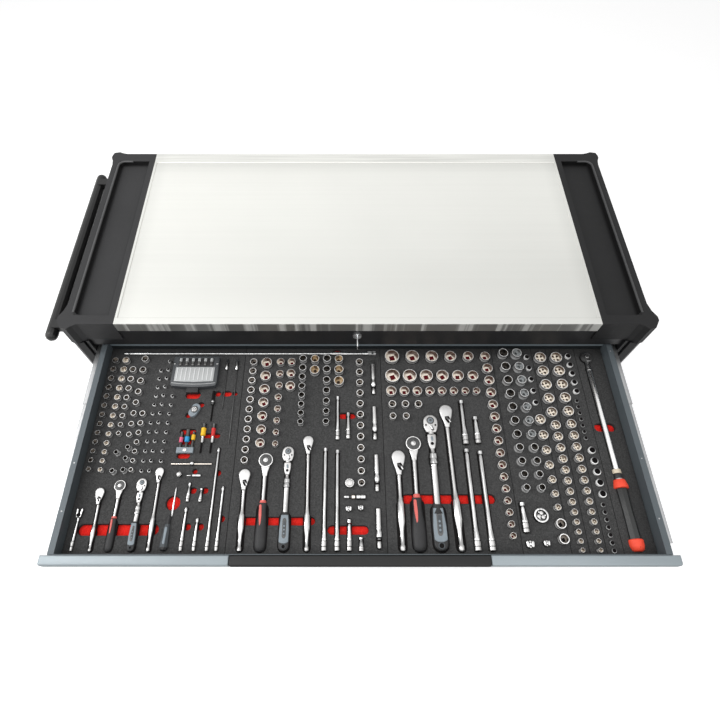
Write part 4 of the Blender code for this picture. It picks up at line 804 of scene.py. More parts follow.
# A socket one unit wide and tall, its mouth up at height 1: wall, rim, bore, square drive hole, and a flat ring
# of painted shadow round it at the foam's face
def socketShape(name, kind, sides=16):
    shape = bmesh.new()

    def ring(radius, height, lobed=0.0):
        angles = [math.tau * index / sides for index in range(sides)]
        reaches = [radius * (1 - lobed * (index % 2)) for index in range(sides)]
        return [shape.verts.new((reach * math.cos(angle), reach * math.sin(angle), height))
                for reach, angle in zip(reaches, angles)]

    # Four dark pits of painted shade, in the slot given, leave a pale cross in the skin between them as a
    # painted highlight
    def skin(lower, upper, slot, smooth=True, pitSlot=None):
        for index in range(len(lower)):
            after = (index + 1) % len(lower)
            face = shape.faces.new((lower[index], lower[after], upper[after], upper[index]))
            face.material_index = pitSlot if pitSlot and index % 4 in (1, 2) else slot
            face.smooth = smooth

    inner, floor, lobes, skirt = 1 - kind["wall"], kind["floor"], kind["lobes"], kind["skirt"]
    proud = 0.0010 if skirt > 0.2 else 0.0003
    level = (socketSink + proud) / (socketSink + kind["rise"])  # where the foam's face is
    # (radius, height, finish of the skin up to here)
    # The first rings lay a flat ring round the socket at the foam's face: a painted shadow of the gap it stands
    # in
    walls = [(1 + skirt, level - 0.10, 3), (1 + skirt, level, 3), (1.0, level, 3), (1.0, 0.965, 0),
             (0.965, 1.0, 0), (inner + 0.02, 1.0, 0), (inner - 0.02, 0.95, 1), (inner - 0.04, floor + 0.02, 1),
             (inner - 0.10, floor, 1)]
    if kind["pits"]:
        walls += [(kind["pits"], floor, 1), (kind["drive"], floor, 1)]
    rings = [(ring(radius, height, lobes if 5 < index < 8 else 0.0), slot)
             for index, (radius, height, slot) in enumerate(walls)]
    for index, ((lower, before), (upper, slot)) in enumerate(zip(rings, rings[1:])):
        skin(lower, upper, slot, pitSlot=2 if index == 9 else None)
    edge = rings[-1][0]
    if kind["pits"]:
        shape.faces.new(edge).material_index = 1
    else:
        corners = arc((0, -0.10), kind["drive"], 45, 315, 3)
        square = [shape.verts.new((x, y, floor)) for x, y in corners]
        per = sides // 4
        for index in range(4):
            first = per * index + per // 2
            loop = [edge[(first + step) % sides] for step in range(per + 1)]
            shape.faces.new([square[(index + 1) % 4], square[index]] + loop).material_index = 1
        # The drive hole's bottom takes the third finish, a painted shade of what lies below
        well = [shape.verts.new((x, y, level + 0.012)) for x, y in corners]
        skin(square, well, 2, False)
        shape.faces.new(well).material_index = 2
    shape.faces.new(list(reversed(rings[0][0])))
    bmesh.ops.recalc_face_normals(shape, faces=shape.faces)
    # Painted highlight: gleam is 1 on the floor's middle and, round the bore and rim, follows the angle from the
    # lit side
    times, start = kind["gleam"]
    gleam = shape.verts.layers.float.new("gleam")
    for vert in shape.verts:
        angle = math.atan2(vert.co.y, vert.co.x) - math.radians(start)
        onFloor = vert.co.z < floor + 0.01 and vert.co.xy.length < 0.74
        vert[gleam] = 1.0 if onFloor else 0.5 + 0.5 * math.cos(times * angle)
    mesh = bpy.data.meshes.new(name)
    shape.to_mesh(mesh)
    shape.free()
    return mesh


# One mesh of a socket on every place, by instances on points that are then made real
def scatter(name, places, prototype, low, high, lookNames, swing):
    points = bpy.data.meshes.new(name + "Points")
    points.from_pydata([(x, y, low) for x, y, radius in places], [], [])
    widths = points.attributes.new("width", "FLOAT", "POINT")
    widths.data.foreach_set("value", [radius for x, y, radius in places])
    holder = bpy.data.objects.new(name + "Holder", points)
    scene.collection.objects.link(holder)
    model = bpy.data.objects.new(name + "Model", prototype)
    tree = bpy.data.node_groups.new(name + "Spread", "GeometryNodeTree")
    entries = (("Geometry", "Geometry", None), ("Height", "Float", high - low), ("Swing", "Float", swing),
               ("Seed", "Int", socketSeed))
    fields = [(tree.interface.new_socket(label, in_out="INPUT", socket_type="NodeSocket" + kind), value)
              for label, kind, value in entries]
    tree.interface.new_socket("Geometry", in_out="OUTPUT", socket_type="NodeSocketGeometry")
    entry = tree.nodes.new("NodeGroupInput")
    start, height, swung, seed = (Signal(tree, entry.outputs[label]) for label, kind, value in entries)
    reach = height.made("GeometryNodeInputNamedAttribute", {"Name": "width"}, data_type="FLOAT")
    turn = height.made("FunctionNodeRandomValue", {2: 0.0, 3: swung, 8: seed}, 1, data_type="FLOAT")
    spots = height.made("GeometryNodeInstanceOnPoints", {
        "Points": start, "Instance": height.made("GeometryNodeObjectInfo", {"Object": model}, "Geometry"),
        "Scale": height.made("ShaderNodeCombineXYZ", {0: reach, 1: reach, 2: height}),
        "Rotation": height.made("ShaderNodeCombineXYZ", {2: turn})})
    made = height.made("GeometryNodeRealizeInstances", {0: spots})
    slots = height.made("GeometryNodeInputMaterialIndex", {})
    for index, look in enumerate(lookNames):
        prototype.materials.append(looks[look])
        same = height.calc("COMPARE", slots, float(index), 0.1)
        inputs = {"Geometry": made, "Selection": same, "Material": looks[look]}
        made = height.made("GeometryNodeSetMaterial", inputs)
    tree.links.new(made.socket, tree.nodes.new("NodeGroupOutput").inputs["Geometry"])
    modifier = holder.modifiers.new("spread", "NODES")
    modifier.node_group = tree
    for field, value in fields[1:]:
        modifier[field.identifier] = value
    bpy.context.view_layer.update()
    mesh = bpy.data.meshes.new_from_object(holder.evaluated_get(bpy.context.evaluated_depsgraph_get()))
    bpy.data.objects.remove(holder, do_unlink=True)
    bpy.data.objects.remove(model, do_unlink=True)
    mesh.name = name
    mesh.set_sharp_from_angle(angle=math.radians(30))
    return piece(name, mesh, "drawer_1")


for kindName, values in sockets.items():
    kind = {**plainSocket, **values}
    item = scatter(kindName + "Sockets", socketPlaces(kind), socketShape(kindName + "Socket", kind),
                   foamTop - socketSink, foamTop + kind["rise"], kind["looks"], kind["turn"])
print("sockets placed")

# Small tools: ratchets, bars, adapters and drivers lying in the foam. Places and widths are shares of the bed.
# A form on a tool is (places, radius, low, high, look, detail, extra): one place makes a disc with its sides and
# an inner radius, two make a slot with its rounding and steps, and more an outline. Places are (right, forward)
# from the tool's middle, they and the radii are shares of its radius, and heights, which are counted from the
# foam's face, and roundings are in mm. A profile is rows of a finish with (share of the length, of the width).
centre = ((0.0, 0.0),)
shifted = ((0.0, -0.12),)
handTools = {
    # head across, end across, head forward, grip start, end, head width, grip width; the four forms take turns
    "ratchetShares": (
        (0.044, 0.047, 0.737, 0.880, 0.983, 0.040, 0.021), (0.077, 0.077, 0.709, 0.842, 0.983, 0.049, 0.034),
        (0.115, 0.116, 0.698, 0.854, 0.983, 0.045, 0.033), (0.1430, 0.145, 0.645, 0.838, 0.983, 0.038, 0.023),
        (0.296, 0.298, 0.658, 0.822, 0.983, 0.052, 0.030), (0.332, 0.332, 0.593, 0.777, 0.983, 0.064, 0.050),
        (0.372, 0.372, 0.555, 0.815, 0.983, 0.055, 0.048), (0.408, 0.411, 0.500, 0.820, 0.983, 0.048, 0.030),
        (0.573, 0.573, 0.576, 0.765, 0.983, 0.063, 0.036), (0.602, 0.602, 0.514, 0.755, 0.983, 0.069, 0.060),
        (0.637, 0.638, 0.406, 0.782, 0.983, 0.070, 0.066), (0.668, 0.6715, 0.350, 0.758, 0.983, 0.063, 0.040)),
    # across, back end, front end, width
    "barShares": (
        (0.199, 0.692, 0.777, 0.012), (0.221, 0.717, 0.777, 0.012), (0.199, 0.800, 0.981, 0.012),
        (0.221, 0.845, 0.981, 0.012), (0.243, 0.530, 0.981, 0.012), (0.259, 0.708, 0.981, 0.012),
        (0.0150, 0.840, 0.981, 0.011), (0.440, 0.531, 0.981, 0.018), (0.462, 0.540, 0.981, 0.018),
        (0.462, 0.270, 0.493, 0.016), (0.482, 0.355, 0.488, 0.016), (0.483, 0.850, 0.981, 0.017),
        (0.503, 0.925, 0.981, 0.017), (0.700, 0.293, 0.516, 0.023), (0.723, 0.377, 0.512, 0.023),
        (0.699, 0.536, 0.981, 0.023), (0.7235, 0.546, 0.981, 0.023), (0.785, 0.778, 0.908, 0.023)),
    "adapterShares": ((0.532, 0.094, 0.261, 0.019), (0.532, 0.325, 0.493, 0.019), (0.533, 0.563, 0.732, 0.019),
                      (0.5335, 0.805, 0.972, 0.020)),
    # across, forward, width
    "capShares": ((0.178, 0.657, 0.022), (0.484, 0.696, 0.040)),
    "jointShares": ((0.482, 0.809, 0.028), (0.503, 0.805, 0.026), (0.787, 0.955, 0.038), (0.815, 0.951, 0.030)),
    "lobedShares": ((0.814, 0.837, 0.062),),
    "stubbyShares": ((0.188, 0.345, 0.056),),
    # across, back end, front end, width, finish
    "driverShares": (
        (0.176, 0.714, 0.838, 0.009, "chrome"), (0.239, 0.062, 0.085, 0.010, "phosphate"),
        (0.239, 0.070, 0.128, 0.016, "chrome"), (0.240, 0.128, 0.336, 0.006, "phosphate"),
        (0.2585, 0.062, 0.085, 0.010, "phosphate"), (0.259, 0.070, 0.128, 0.016, "chrome"),
        (0.260, 0.128, 0.514, 0.006, "phosphate"), (0.220, 0.243, 0.300, 0.014, "hollow"),
        (0.2205, 0.292, 0.318, 0.018, "phosphate"), (0.221, 0.318, 0.400, 0.008, "hollow"),
        (0.2205, 0.300, 0.306, 0.020, "satin"), (0.171, 0.452, 0.486, 0.015, "phosphate"),
        (0.182, 0.440, 0.482, 0.020, "dial"), (0.193, 0.452, 0.474, 0.013, "phosphate"),
        (0.171, 0.480, 0.505, 0.018, "pinkGrip"), (0.182, 0.478, 0.504, 0.022, "blueGrip"),
        (0.193, 0.468, 0.494, 0.018, "yellowGrip"), (0.171, 0.504, 0.560, 0.014, "dial"),
        (0.182, 0.502, 0.560, 0.016, "dial"), (0.193, 0.492, 0.560, 0.013, "dial"),
        (0.2105, 0.412, 0.440, 0.018, "phosphate"), (0.229, 0.412, 0.438, 0.018, "phosphate"),
        (0.2105, 0.434, 0.474, 0.023, "yellowGrip"), (0.229, 0.434, 0.476, 0.019, "redGrip"),
        (0.2105, 0.474, 0.508, 0.016, "satin"), (0.229, 0.474, 0.508, 0.016, "satin"),
        (0.2095, 0.508, 0.556, 0.009, "hollow"), (0.2275, 0.508, 0.556, 0.009, "hollow")),
    "sink": 0.004, "lift": 0.35, "shadowMargin": 0.0013, "shadowHeight": 0.0002,
}
# Heads and necks are plans past the head's middle. A plate is (high in mm, finish, rounding, low in mm).
plainShares = {
    "head": ((0.95, 0.82), (1.5, 0.62), (2.2, 0.42), (2.7, 0.34)), "plate": (8.4, "headPlate", 0.20),
    "neckFrom": 2.3,
    # The first lever form is the notch's painted shade
    "lever": ((((-0.24, 1.00), (0.34, 0.92), (0.56, 1.36), (0.36, 2.06), (0.10, 2.00), (-0.22, 1.46)), 0,
               7.0, 8.8, "hollow", 0.4),
              (((0.02, 1.22), (0.26, 1.50)), 0.13, 7.0, 10.0, "phosphate", 0.6),
              (((0.30, 1.46), (0.52, 1.86)), 0.10, 4.0, 10.0, "chrome", 0.6)),
    "neck": (("satin", (0.0, 0.36), (0.22, 0.27), (0.90, 0.28)),),
    "grip": (("chrome", (0.02, 0.70), (0.10, 0.96), (0.42, 1.0), (0.62, 0.62), (0.70, 0.56)),
             ("satin", (0.88, 0.58), (0.90, 0.72))),
    "end": (("satin", (0.988, 0.72), (1.0, 0.56)),),
}
roundShares = {
    "head": ((centre, 1.0, -4.0, 7.8, "rim", 32), (centre, 0.88, 7.0, 8.4, "dial", 28),
             (centre, 0.60, 7.8, 9.0, "phosphate", 24, 0.48), (centre, 0.34, 7.8, 9.6, "satin", 18),
             (((-0.04, -0.04),), 0.20, 9.0, 10.8, "chrome", 14)),
    "neck": ((0.72, 0.68), (1.15, 0.56), (1.7, 0.40), (2.3, 0.32)), "plate": (6.8, "satin", 0.16),
    "shaftFrom": 2.0,
    "shaft": (("satin", (0.0, 0.32), (0.4, 0.27), (0.90, 0.27)),
              ("salmon", (0.91, 0.40), (1.0, 0.48), (1.01, 0.3))),
    "grip": (("blackGrip", (0.0, 0.56), (0.03, 0.74), (0.10, 0.66), (0.22, 0.66), (0.50, 0.92), (0.70, 1.0),
              (0.88, 0.98), (0.97, 0.84), (1.0, 0.56)),),
}
flexShares = {
    "head": ((0.6, 0.98), (1.15, 0.84), (1.55, 0.62)),
    "headPlate": (8.0, "satin", 0.20), "forkPlate": (7.6, "satin", 0.14),
    "bodyPlate": (7.8, "blackGrip", 0.24), "skinPlate": (9.2, "greyGrip", 0.12, 5.0),
    "dial": ((shifted, 0.52, 7.0, 8.6, "phosphate", 24), (shifted, 0.34, 7.8, 9.4, "greyGrip", 18),
             (shifted, 0.18, 7.8, 10.4, "phosphate", 12),
             (((-0.62, 0.52),), 0.14, 6.6, 8.6, "hollow", 10), (((-0.60, 1.78),), 0.15, 0.6, 6.6, "hollow", 10),
             (((0.62, 0.52),), 0.14, 6.6, 8.6, "hollow", 10), (((0.60, 1.78),), 0.15, 0.6, 6.6, "hollow", 10),
             (((0.06, 0.70), (0.22, 1.14)), 0.20, 7.0, 8.4, "phosphate", 0.4),
             (((0.0, 0.66), (0.14, 1.02)), 0.14, 7.0, 9.8, "chrome", 0.5)),
    "forkMarks": ((((0.0, 2.25), (0.05, 2.6)), 0.15, 6.6, 8.4, "greyGrip", 0.4),
                  (((0.0, 3.10),), 0.22, 6.6, 8.4, "hollow", 12)),
    "hinge": (("satin", (0.0, 0.46), (0.5, 0.46), (1.0, 0.46)),),
    "fork": ((1.74, 0.52), (1.90, 0.60), (2.7, 0.58), (3.3, 0.46), (3.8, 0.32)),
    "collar": (("satin", (0.0, 0.34), (0.45, 0.30), (0.8, 0.42)),
               ("chrome", (0.9, 0.56), (1.5, 0.60), (1.55, 0.54), (1.65, 0.60), (2.2, 0.60), (2.3, 0.48)),
               ("satin", (2.5, 0.44))),
    "shaft": (("satin", (1.0, 0.46)),),
    "handle": (("blackGrip", (0.0, 0.50), (0.06, 0.62), (0.5, 0.66), (1.0, 0.86)),),
    "body": ((0.35, 0.92), (0.7, 0.96)),
    "skin": ((0.12, 0.62), (0.24, 0.70), (0.50, 0.84)),
    # size, low, high and finish of the oval panels, and where the marks on them are
    "panels": ((1.0, 8.0, 9.5, "phosphate"), (0.70, 8.1, 9.6, "greyDark")),
    "marks": (0.40, 0.49, 0.58),
    "eye": ((centre, 0.44, 6.0, 8.6, "greyDark", 18, 0.30), (centre, 0.32, 6.0, 8.0, "hollow", 16)),
}
# The drive end of a bar in lengths of its drive, and its collar in lengths of the collar from the front end
barShares = {
    "drive": (("chrome", (0.0, 0.84), (0.15, 1.16), (0.8, 1.18), (1.0, 0.70), (1.5, 0.88)),),
    "collar": (("chrome", (2.2, 0.86), (1.2, 1.24), (1.0, 1.32)), ("phosphate", (0.96, 1.24), (0.92, 1.24)),
               ("satin", (0.90, 1.40), (0.46, 1.40)), ("phosphate", (0.44, 1.26), (0.40, 1.26)),
               ("satin", (0.38, 1.38), (0.06, 1.38), (0.0, 1.16))),
}
adapterShares = (("satin", (0.0, 0.90), (0.02, 1.18), (0.30, 1.20)),
                 ("chrome", (0.50, 1.24), (0.56, 1.08), (0.62, 1.40), (0.72, 1.36), (0.76, 0.84)),
                 ("hollow", (0.78, 0.98), (0.825, 0.98)), ("satin", (0.83, 1.02), (0.98, 1.02), (1.0, 0.84)))


# The place on a circle round a tool's middle, as (right, forward)
def around(radius, turn):
    return (radius * math.cos(math.radians(turn)), -radius * math.sin(math.radians(turn)))


# Drive caps with a fluted edge, universal joints on end, the bit set's ratchet, a drive head with three lobes
standingShares = {
    "capShares": [(centre, 1.0, -4.0, 7.0, "satin", 24),
                  *(((around(0.90, step * 30),), 0.13, 4.0, 8.0, "chrome", 8) for step in range(12)),
                  (centre, 0.70, 6.0, 9.2, "satin", 18)],
    "jointShares": [(centre, 0.86, -4.0, 4.0, "phosphate", 16),
                    (((-0.52, 0.34), (-0.60, -0.42)), 0.30, -1.0, 8.8, "chrome", 0.8, 5),
                    (((-0.06, 0.56),), 0.26, -1.0, 7.8, "satin", 10),
                    (((0.52, 0.34), (0.60, -0.42)), 0.30, -1.0, 8.8, "chrome", 0.8, 5),
                    (((0.06, -0.56),), 0.26, -1.0, 7.8, "satin", 10),
                    (centre, 0.30, 3.0, 9.6, "chrome", 12)],
    "stubbyShares": [(((-0.25, 0.50), (0.20, -0.45)), 0.72, -4.0, 6.8, "greyGrip", 1.4, 9),
                     (((0.0, -0.05),), 0.62, 6.0, 8.2, "phosphate", 22),
                     (((0.0, -0.05),), 0.44, 6.6, 9.0, "satin", 18, 0.24),
                     (((0.0, -0.05),), 0.16, 6.6, 9.8, "chrome", 12)],
    "lobedShares": [(centre, 1.0, -4.0, 8.8, "chrome", 30, 0.74), (centre, 0.76, -4.0, 4.0, "phosphate", 24),
                    *(row for turn in (80, 200, 320) for row in (
                        ((around(0.34, turn),), 0.27, 3.0, 7.8, "satin", 14),
                        ((around(0.52, turn + 40),), 0.12, 3.0, 8.2, "chrome", 10)))],
}
tools = Kit("satin", "chrome")


def form(x, y, unit, rows):
    for places, size, low, high, look, detail, *extra in rows:
        spots = [(x + unit * right, y - unit * ahead) for right, ahead in places]
        low, high = foamTop + low * mm, foamTop + high * mm
        if len(spots) == 1:
            tools.disc(spots[0], unit * size, low, high, look, detail, *(unit * share for share in extra))
        else:
            outline = capsule(*spots, unit * size, *extra) if size else spots
            tools.plate(outline, low, high, look, detail * mm)


# The plan of a long symmetrical tool from stations of (forward, half width)
def spine(across, endAcross, plan):
    first, last = plan[0][0], plan[-1][0]
    middles = [bedX(across + (endAcross - across) * (share - first) / (last - first)) for share, half in plan]
    left = [(x - half, bedY(share)) for x, (share, half) in zip(middles, plan)]
    right = [(x + half, bedY(share)) for x, (share, half) in zip(middles, plan)]
    return left + right[::-1]


# Pieces of such a plan: a round back end, a round front end, and points by their distance past the head
def backEnd(along, radius, until=118, stretch=1.0):
    reach = stretch * radius / bedDepth
    angles = [math.radians(12 + (until - 12) * step / 10) for step in range(11)]
    return [(along - reach * math.cos(angle), radius * math.sin(angle)) for angle in angles]


def frontEnd(along, radius, stretch=1.0):
    reach = stretch * radius / bedDepth
    angles = [math.radians(90 - 78 * step / 7) for step in range(8)]
    return [(along - reach + reach * math.cos(angle), radius * math.sin(angle)) for angle in angles]


def past(along, radius, pairs):
    return [(along + radius / bedDepth * ahead, radius * wide) for ahead, wide in pairs]


def profile(half, rows, start=0.0, end=1.0):
    return [(start + (end - start) * share, half * wide, look)
            for look, *pairs in rows for share, wide in pairs]


# A turned bar lying in the foam, from its back end to its front end
def rod(across, endAcross, start, end, rise, stations, sides=14, flat=1.0):
    first, last = ((bedX(x), bedY(y), foamTop + rise) for x, y in ((across, start), (endAcross, end)))
    tools.turned(stations, first, last, sides, flat)


def lay(outline, high, look, rounding, low=-handTools["sink"]):
    tools.plate(outline, foamTop + low, foamTop + high, look, rounding)


# A plate with the plan of a long tool: its heights are in mm and its rounding is a share of the radius
def slab(across, endAcross, plan, radius, high, look, rounding, low=-handTools["sink"] / mm):
    lay(spine(across, endAcross, plan), high * mm, look, radius * rounding, low * mm)


# Painted shadow: a dark plate on the foam just wider than a tool, for the shade in the cut it lies in
def recess(across, endAcross, start, end, half):
    radius = half + handTools["shadowMargin"]
    reach = 0.8 * radius / bedDepth
    lay(capsule((bedX(across), bedY(start + reach)), (bedX(endAcross), bedY(end - reach)), radius),
        handTools["shadowHeight"], "hollow", 0.0001)


# Teardrop head with a reversing lever in a notch of painted shade, slim neck, and a grip shaped like a spindle
def plainRatchet(across, endAcross, along, grip, end, radius, half):
    def at(share):
        return across + (endAcross - across) * (share - along) / (end - along)

    head = backEnd(along, radius, 104) + past(along, radius, plainShares["head"])
    slab(across, at(head[-1][0]), head, radius, *plainShares["plate"])
    form(bedX(across), bedY(along), radius, plainShares["lever"])
    start = along + radius / bedDepth * plainShares["neckFrom"]
    step = (grip - start) / (end - start)
    rod(at(start), endAcross, start, end, 0.0020, profile(radius, plainShares["neck"], 0.0, step)
        + profile(half, plainShares["grip"], step) + profile(half, plainShares["end"]))


# Round head with a dark dial and a bright hub, and a black grip with a pale red flash on its left
def roundRatchet(across, endAcross, along, grip, end, radius, half):
    form(bedX(across), bedY(along), radius, roundShares["head"])
    slab(across, across, past(along, radius, roundShares["neck"]), radius, *roundShares["plate"])
    start = along + radius / bedDepth * roundShares["shaftFrom"]
    rod(across, across, start, grip + 0.006, 0.0022, profile(radius, roundShares["shaft"]))
    rod(across, endAcross, grip, end, 0.0012, profile(half, roundShares["grip"]), 20, 0.68)
    shift, held = half * 0.34 / (2 * bedHalf), end - grip
    flash = backEnd(grip + held * 0.09, half * 0.20, 90) + [(grip + held * 0.28, half * 0.24)]
    flash += frontEnd(grip + held * 0.50, half * 0.14, 3.0)
    lay(spine(across - shift, across - shift * 0.6, flash), 0.0012 + half * 0.60, "salmon", 0.0005, 0.0030)


# Flexible head on a fork, a knurled collar, and a grey and black grip with an engraved oval and an eye
def flexRatchet(across, endAcross, along, grip, end, radius, half):
    reach, held = radius / bedDepth, end - grip
    head = backEnd(along, radius, 90, 1.05) + past(along, radius, flexShares["head"])
    slab(across, across, head, radius, *flexShares["headPlate"])
    form(bedX(across), bedY(along), radius, flexShares["dial"])
    hinge = profile(radius, flexShares["hinge"])
    rod(across, across, along + reach * 1.45, along + reach * 1.80, 0.0022, hinge, 12)
    slab(across, across, past(along, radius, flexShares["fork"]), radius, *flexShares["forkPlate"])
    form(bedX(across), bedY(along), radius, flexShares["forkMarks"])
    first, second = along + reach * 3.6, grip + 0.008
    collar = profile(radius, flexShares["collar"], 0.0, reach / (second - first))
    rod(across, across, first, second, 0.0020, collar + profile(radius, flexShares["shaft"]), 16)
    rod(across, across, grip, grip + held * 0.24, 0.0012, profile(half, flexShares["handle"]), 18, 0.8)
    body = backEnd(grip + held * 0.16, half * 0.80, 90)
    body += [(grip + held * share, half * wide) for share, wide in flexShares["body"]]
    slab(across, endAcross, body + frontEnd(end, half * 0.92), half, *flexShares["bodyPlate"])
    skin = [(grip + held * share, half * wide) for share, wide in flexShares["skin"]]
    skin += frontEnd(grip + held * 0.82, half * 0.84, 0.5)
    slab(across, endAcross, skin, half, *flexShares["skinPlate"])
    middle = across + (endAcross - across) * 0.5
    for size, low, high, look in flexShares["panels"]:
        panel = backEnd(grip + held * (0.44 - 0.16 * size), half * 0.36 * size, 90, 1.6)
        panel += frontEnd(grip + held * (0.52 + 0.18 * size), half * 0.36 * size, 1.6)
        lay(spine(middle, middle, panel), high * mm, look, 0.0003, low * mm)
    for share in flexShares["marks"]:
        form(bedX(middle), bedY(grip + held * share), half, ((centre, 0.15, 8.4, 10.0, "greyGrip", 12),))
    form(bedX(endAcross), bedY(grip + held * 0.89), half, flexShares["eye"])


for index, (across, endAcross, along, grip, end, width, gripWidth) in enumerate(handTools["ratchetShares"]):
    radius, half = width * bedDepth / 2, gripWidth * bedDepth / 2
    ratchet = (plainRatchet, roundRatchet, flexRatchet, plainRatchet)[index % 4]
    ratchet(across, endAcross, along, grip, end, radius, half)
    turn = across + (endAcross - across) * (grip - along) / (end - along)
    recess(turn, endAcross, grip + 0.010, end, half)
    recess(across, turn, along, grip + 0.020, radius * 0.4)

# Extension bars: a rounded drive end at the back, a wide ringed collar at the front
for across, start, end, width in handTools["barShares"]:
    half, length = width * bedDepth / 2, (end - start) * bedDepth
    recess(across, across, start - 0.002, end, half)
    drive, collar = min(0.010, length * 0.2) / length, min(0.020, length * 0.34) / length
    rod(across, across, start, end, half * handTools["lift"], profile(half, barShares["drive"], 0.0, drive)
        + profile(half, barShares["collar"], 1.0, 1 - collar), 16)

# Hex-bit adapters: a stout body, a flange, a black ring and a narrower end
for across, start, end, width in handTools["adapterShares"]:
    half = width * bedDepth / 2
    recess(across, across, start, end, half)
    rod(across, across, start, end, half * handTools["lift"], profile(half, adapterShares), 18)
# The crown of jaws at the back of the first adapter
for turn in (-0.5, -0.17, 0.17, 0.5):
    x = bedX(0.532) + 0.0052 * turn * 1.6
    tools.turned(profile(mm, (("chrome", (0.0, 0.6), (0.5, 1.1), (1.0, 1.3)),)),
                 (x + 0.002 * turn, bedY(0.074), foamTop + 0.0040), (x, bedY(0.100), foamTop + 0.0030), 6)

for table, rows in standingShares.items():
    for across, along, width in handTools[table]:
        form(bedX(across), bedY(along), width * bedDepth / 2, rows)

# Lying across: a small pin, a universal joint with a brass-coloured middle, and the sliding bar with its ball
half = 0.015 * bedDepth / 2
rod(0.191, 0.2165, 0.660, 0.660, half * handTools["lift"], profile(half, (
    ("chrome", (0.0, 0.25), (0.08, 0.5), (0.24, 0.5)), ("phosphate", (0.28, 0.4), (0.38, 0.4)),
    ("chrome", (0.42, 1.0), (0.96, 1.0), (1.0, 0.8)))))
half = 0.026 * bedDepth / 2
rod(0.474, 0.512, 0.756, 0.756, half * handTools["lift"], profile(half, (
    ("chrome", (0.0, 0.50), (0.04, 0.62), (0.22, 0.62)), ("phosphate", (0.24, 0.40), (0.34, 0.40)),
    ("rosy", (0.36, 0.86), (0.50, 0.86)), ("phosphate", (0.52, 0.60), (0.56, 0.60)),
    ("chrome", (0.58, 0.92), (0.74, 0.92), (0.76, 0.80), (0.78, 0.94), (0.97, 0.94), (1.0, 0.8)))), 16)
rod(0.160, 0.234, 0.608, 0.608, 0.0030, profile(mm, (
    ("rosy", (0.0, 1.2), (0.01, 1.7), (0.99, 1.7), (1.0, 1.2)),)), 12)
ballRadius = 0.0052
angles = [math.pi * step / 8 for step in range(9)]
ball = [(0.5 - 0.5 * math.cos(angle), max(ballRadius * math.sin(angle), 0.0004), "chrome") for angle in angles]
tools.turned(ball, (bedX(0.198) - ballRadius, bedY(0.606), foamTop + 0.0034),
             (bedX(0.198) + ballRadius, bedY(0.606), foamTop + 0.0034), 14)

for across, start, end, width, look in handTools["driverShares"]:
    half = width * bedDepth / 2
    rod(across, across, start, end, half * 0.5,
        profile(half, ((look, (0.0, 0.72), (0.08, 1.0), (0.5, 0.94), (0.9, 1.0), (1.0, 0.66)),)), 12)
# The block that the three coloured bits stand in
lay(oblong(bedX(0.1655), bedX(0.1965), bedY(0.557), bedY(0.530)), 0.0058, "greyGrip", 0.0010, -0.003)
form(bedX(0.181), bedY(0.543), mm, ((centre, 4.2, 5.0, 6.6, "satin", 14),))
# The screwdriver with a grey fluted handle
half = 0.034 * bedDepth / 2
rod(0.1715, 0.1700, 0.838, 0.980, half * 0.30, profile(half, (
    ("blackGrip", (0.0, 0.50), (0.05, 0.58), (0.16, 0.56)),
    ("greyDark", (0.24, 0.62), (0.60, 0.86), (0.80, 1.0)),
    ("blackGrip", (0.90, 0.96), (0.97, 0.84), (1.0, 0.5)))), 8, 0.9)
lay(capsule((bedX(0.1705), bedY(0.950)), (bedX(0.1712), bedY(0.890)), half * 0.30), half * 1.20, "greyGrip",
    0.0006, half * 0.30)
# The forked end of the first bar, with its dark pivot
for side in (-1, 1):
    x = bedX(0.0155) + side * 0.0030
    lay(capsule((x, bedY(0.840)), (x + side * 0.0016, bedY(0.812)), 0.0022), 0.0056, "satin", 0.0007, -0.002)
form(bedX(0.0155), bedY(0.834), mm, ((centre, 4.2, -2.0, 6.4, "hollow", 14),))
item = tools.finish("handTools", "drawer_1")
print("hand tools laid out")

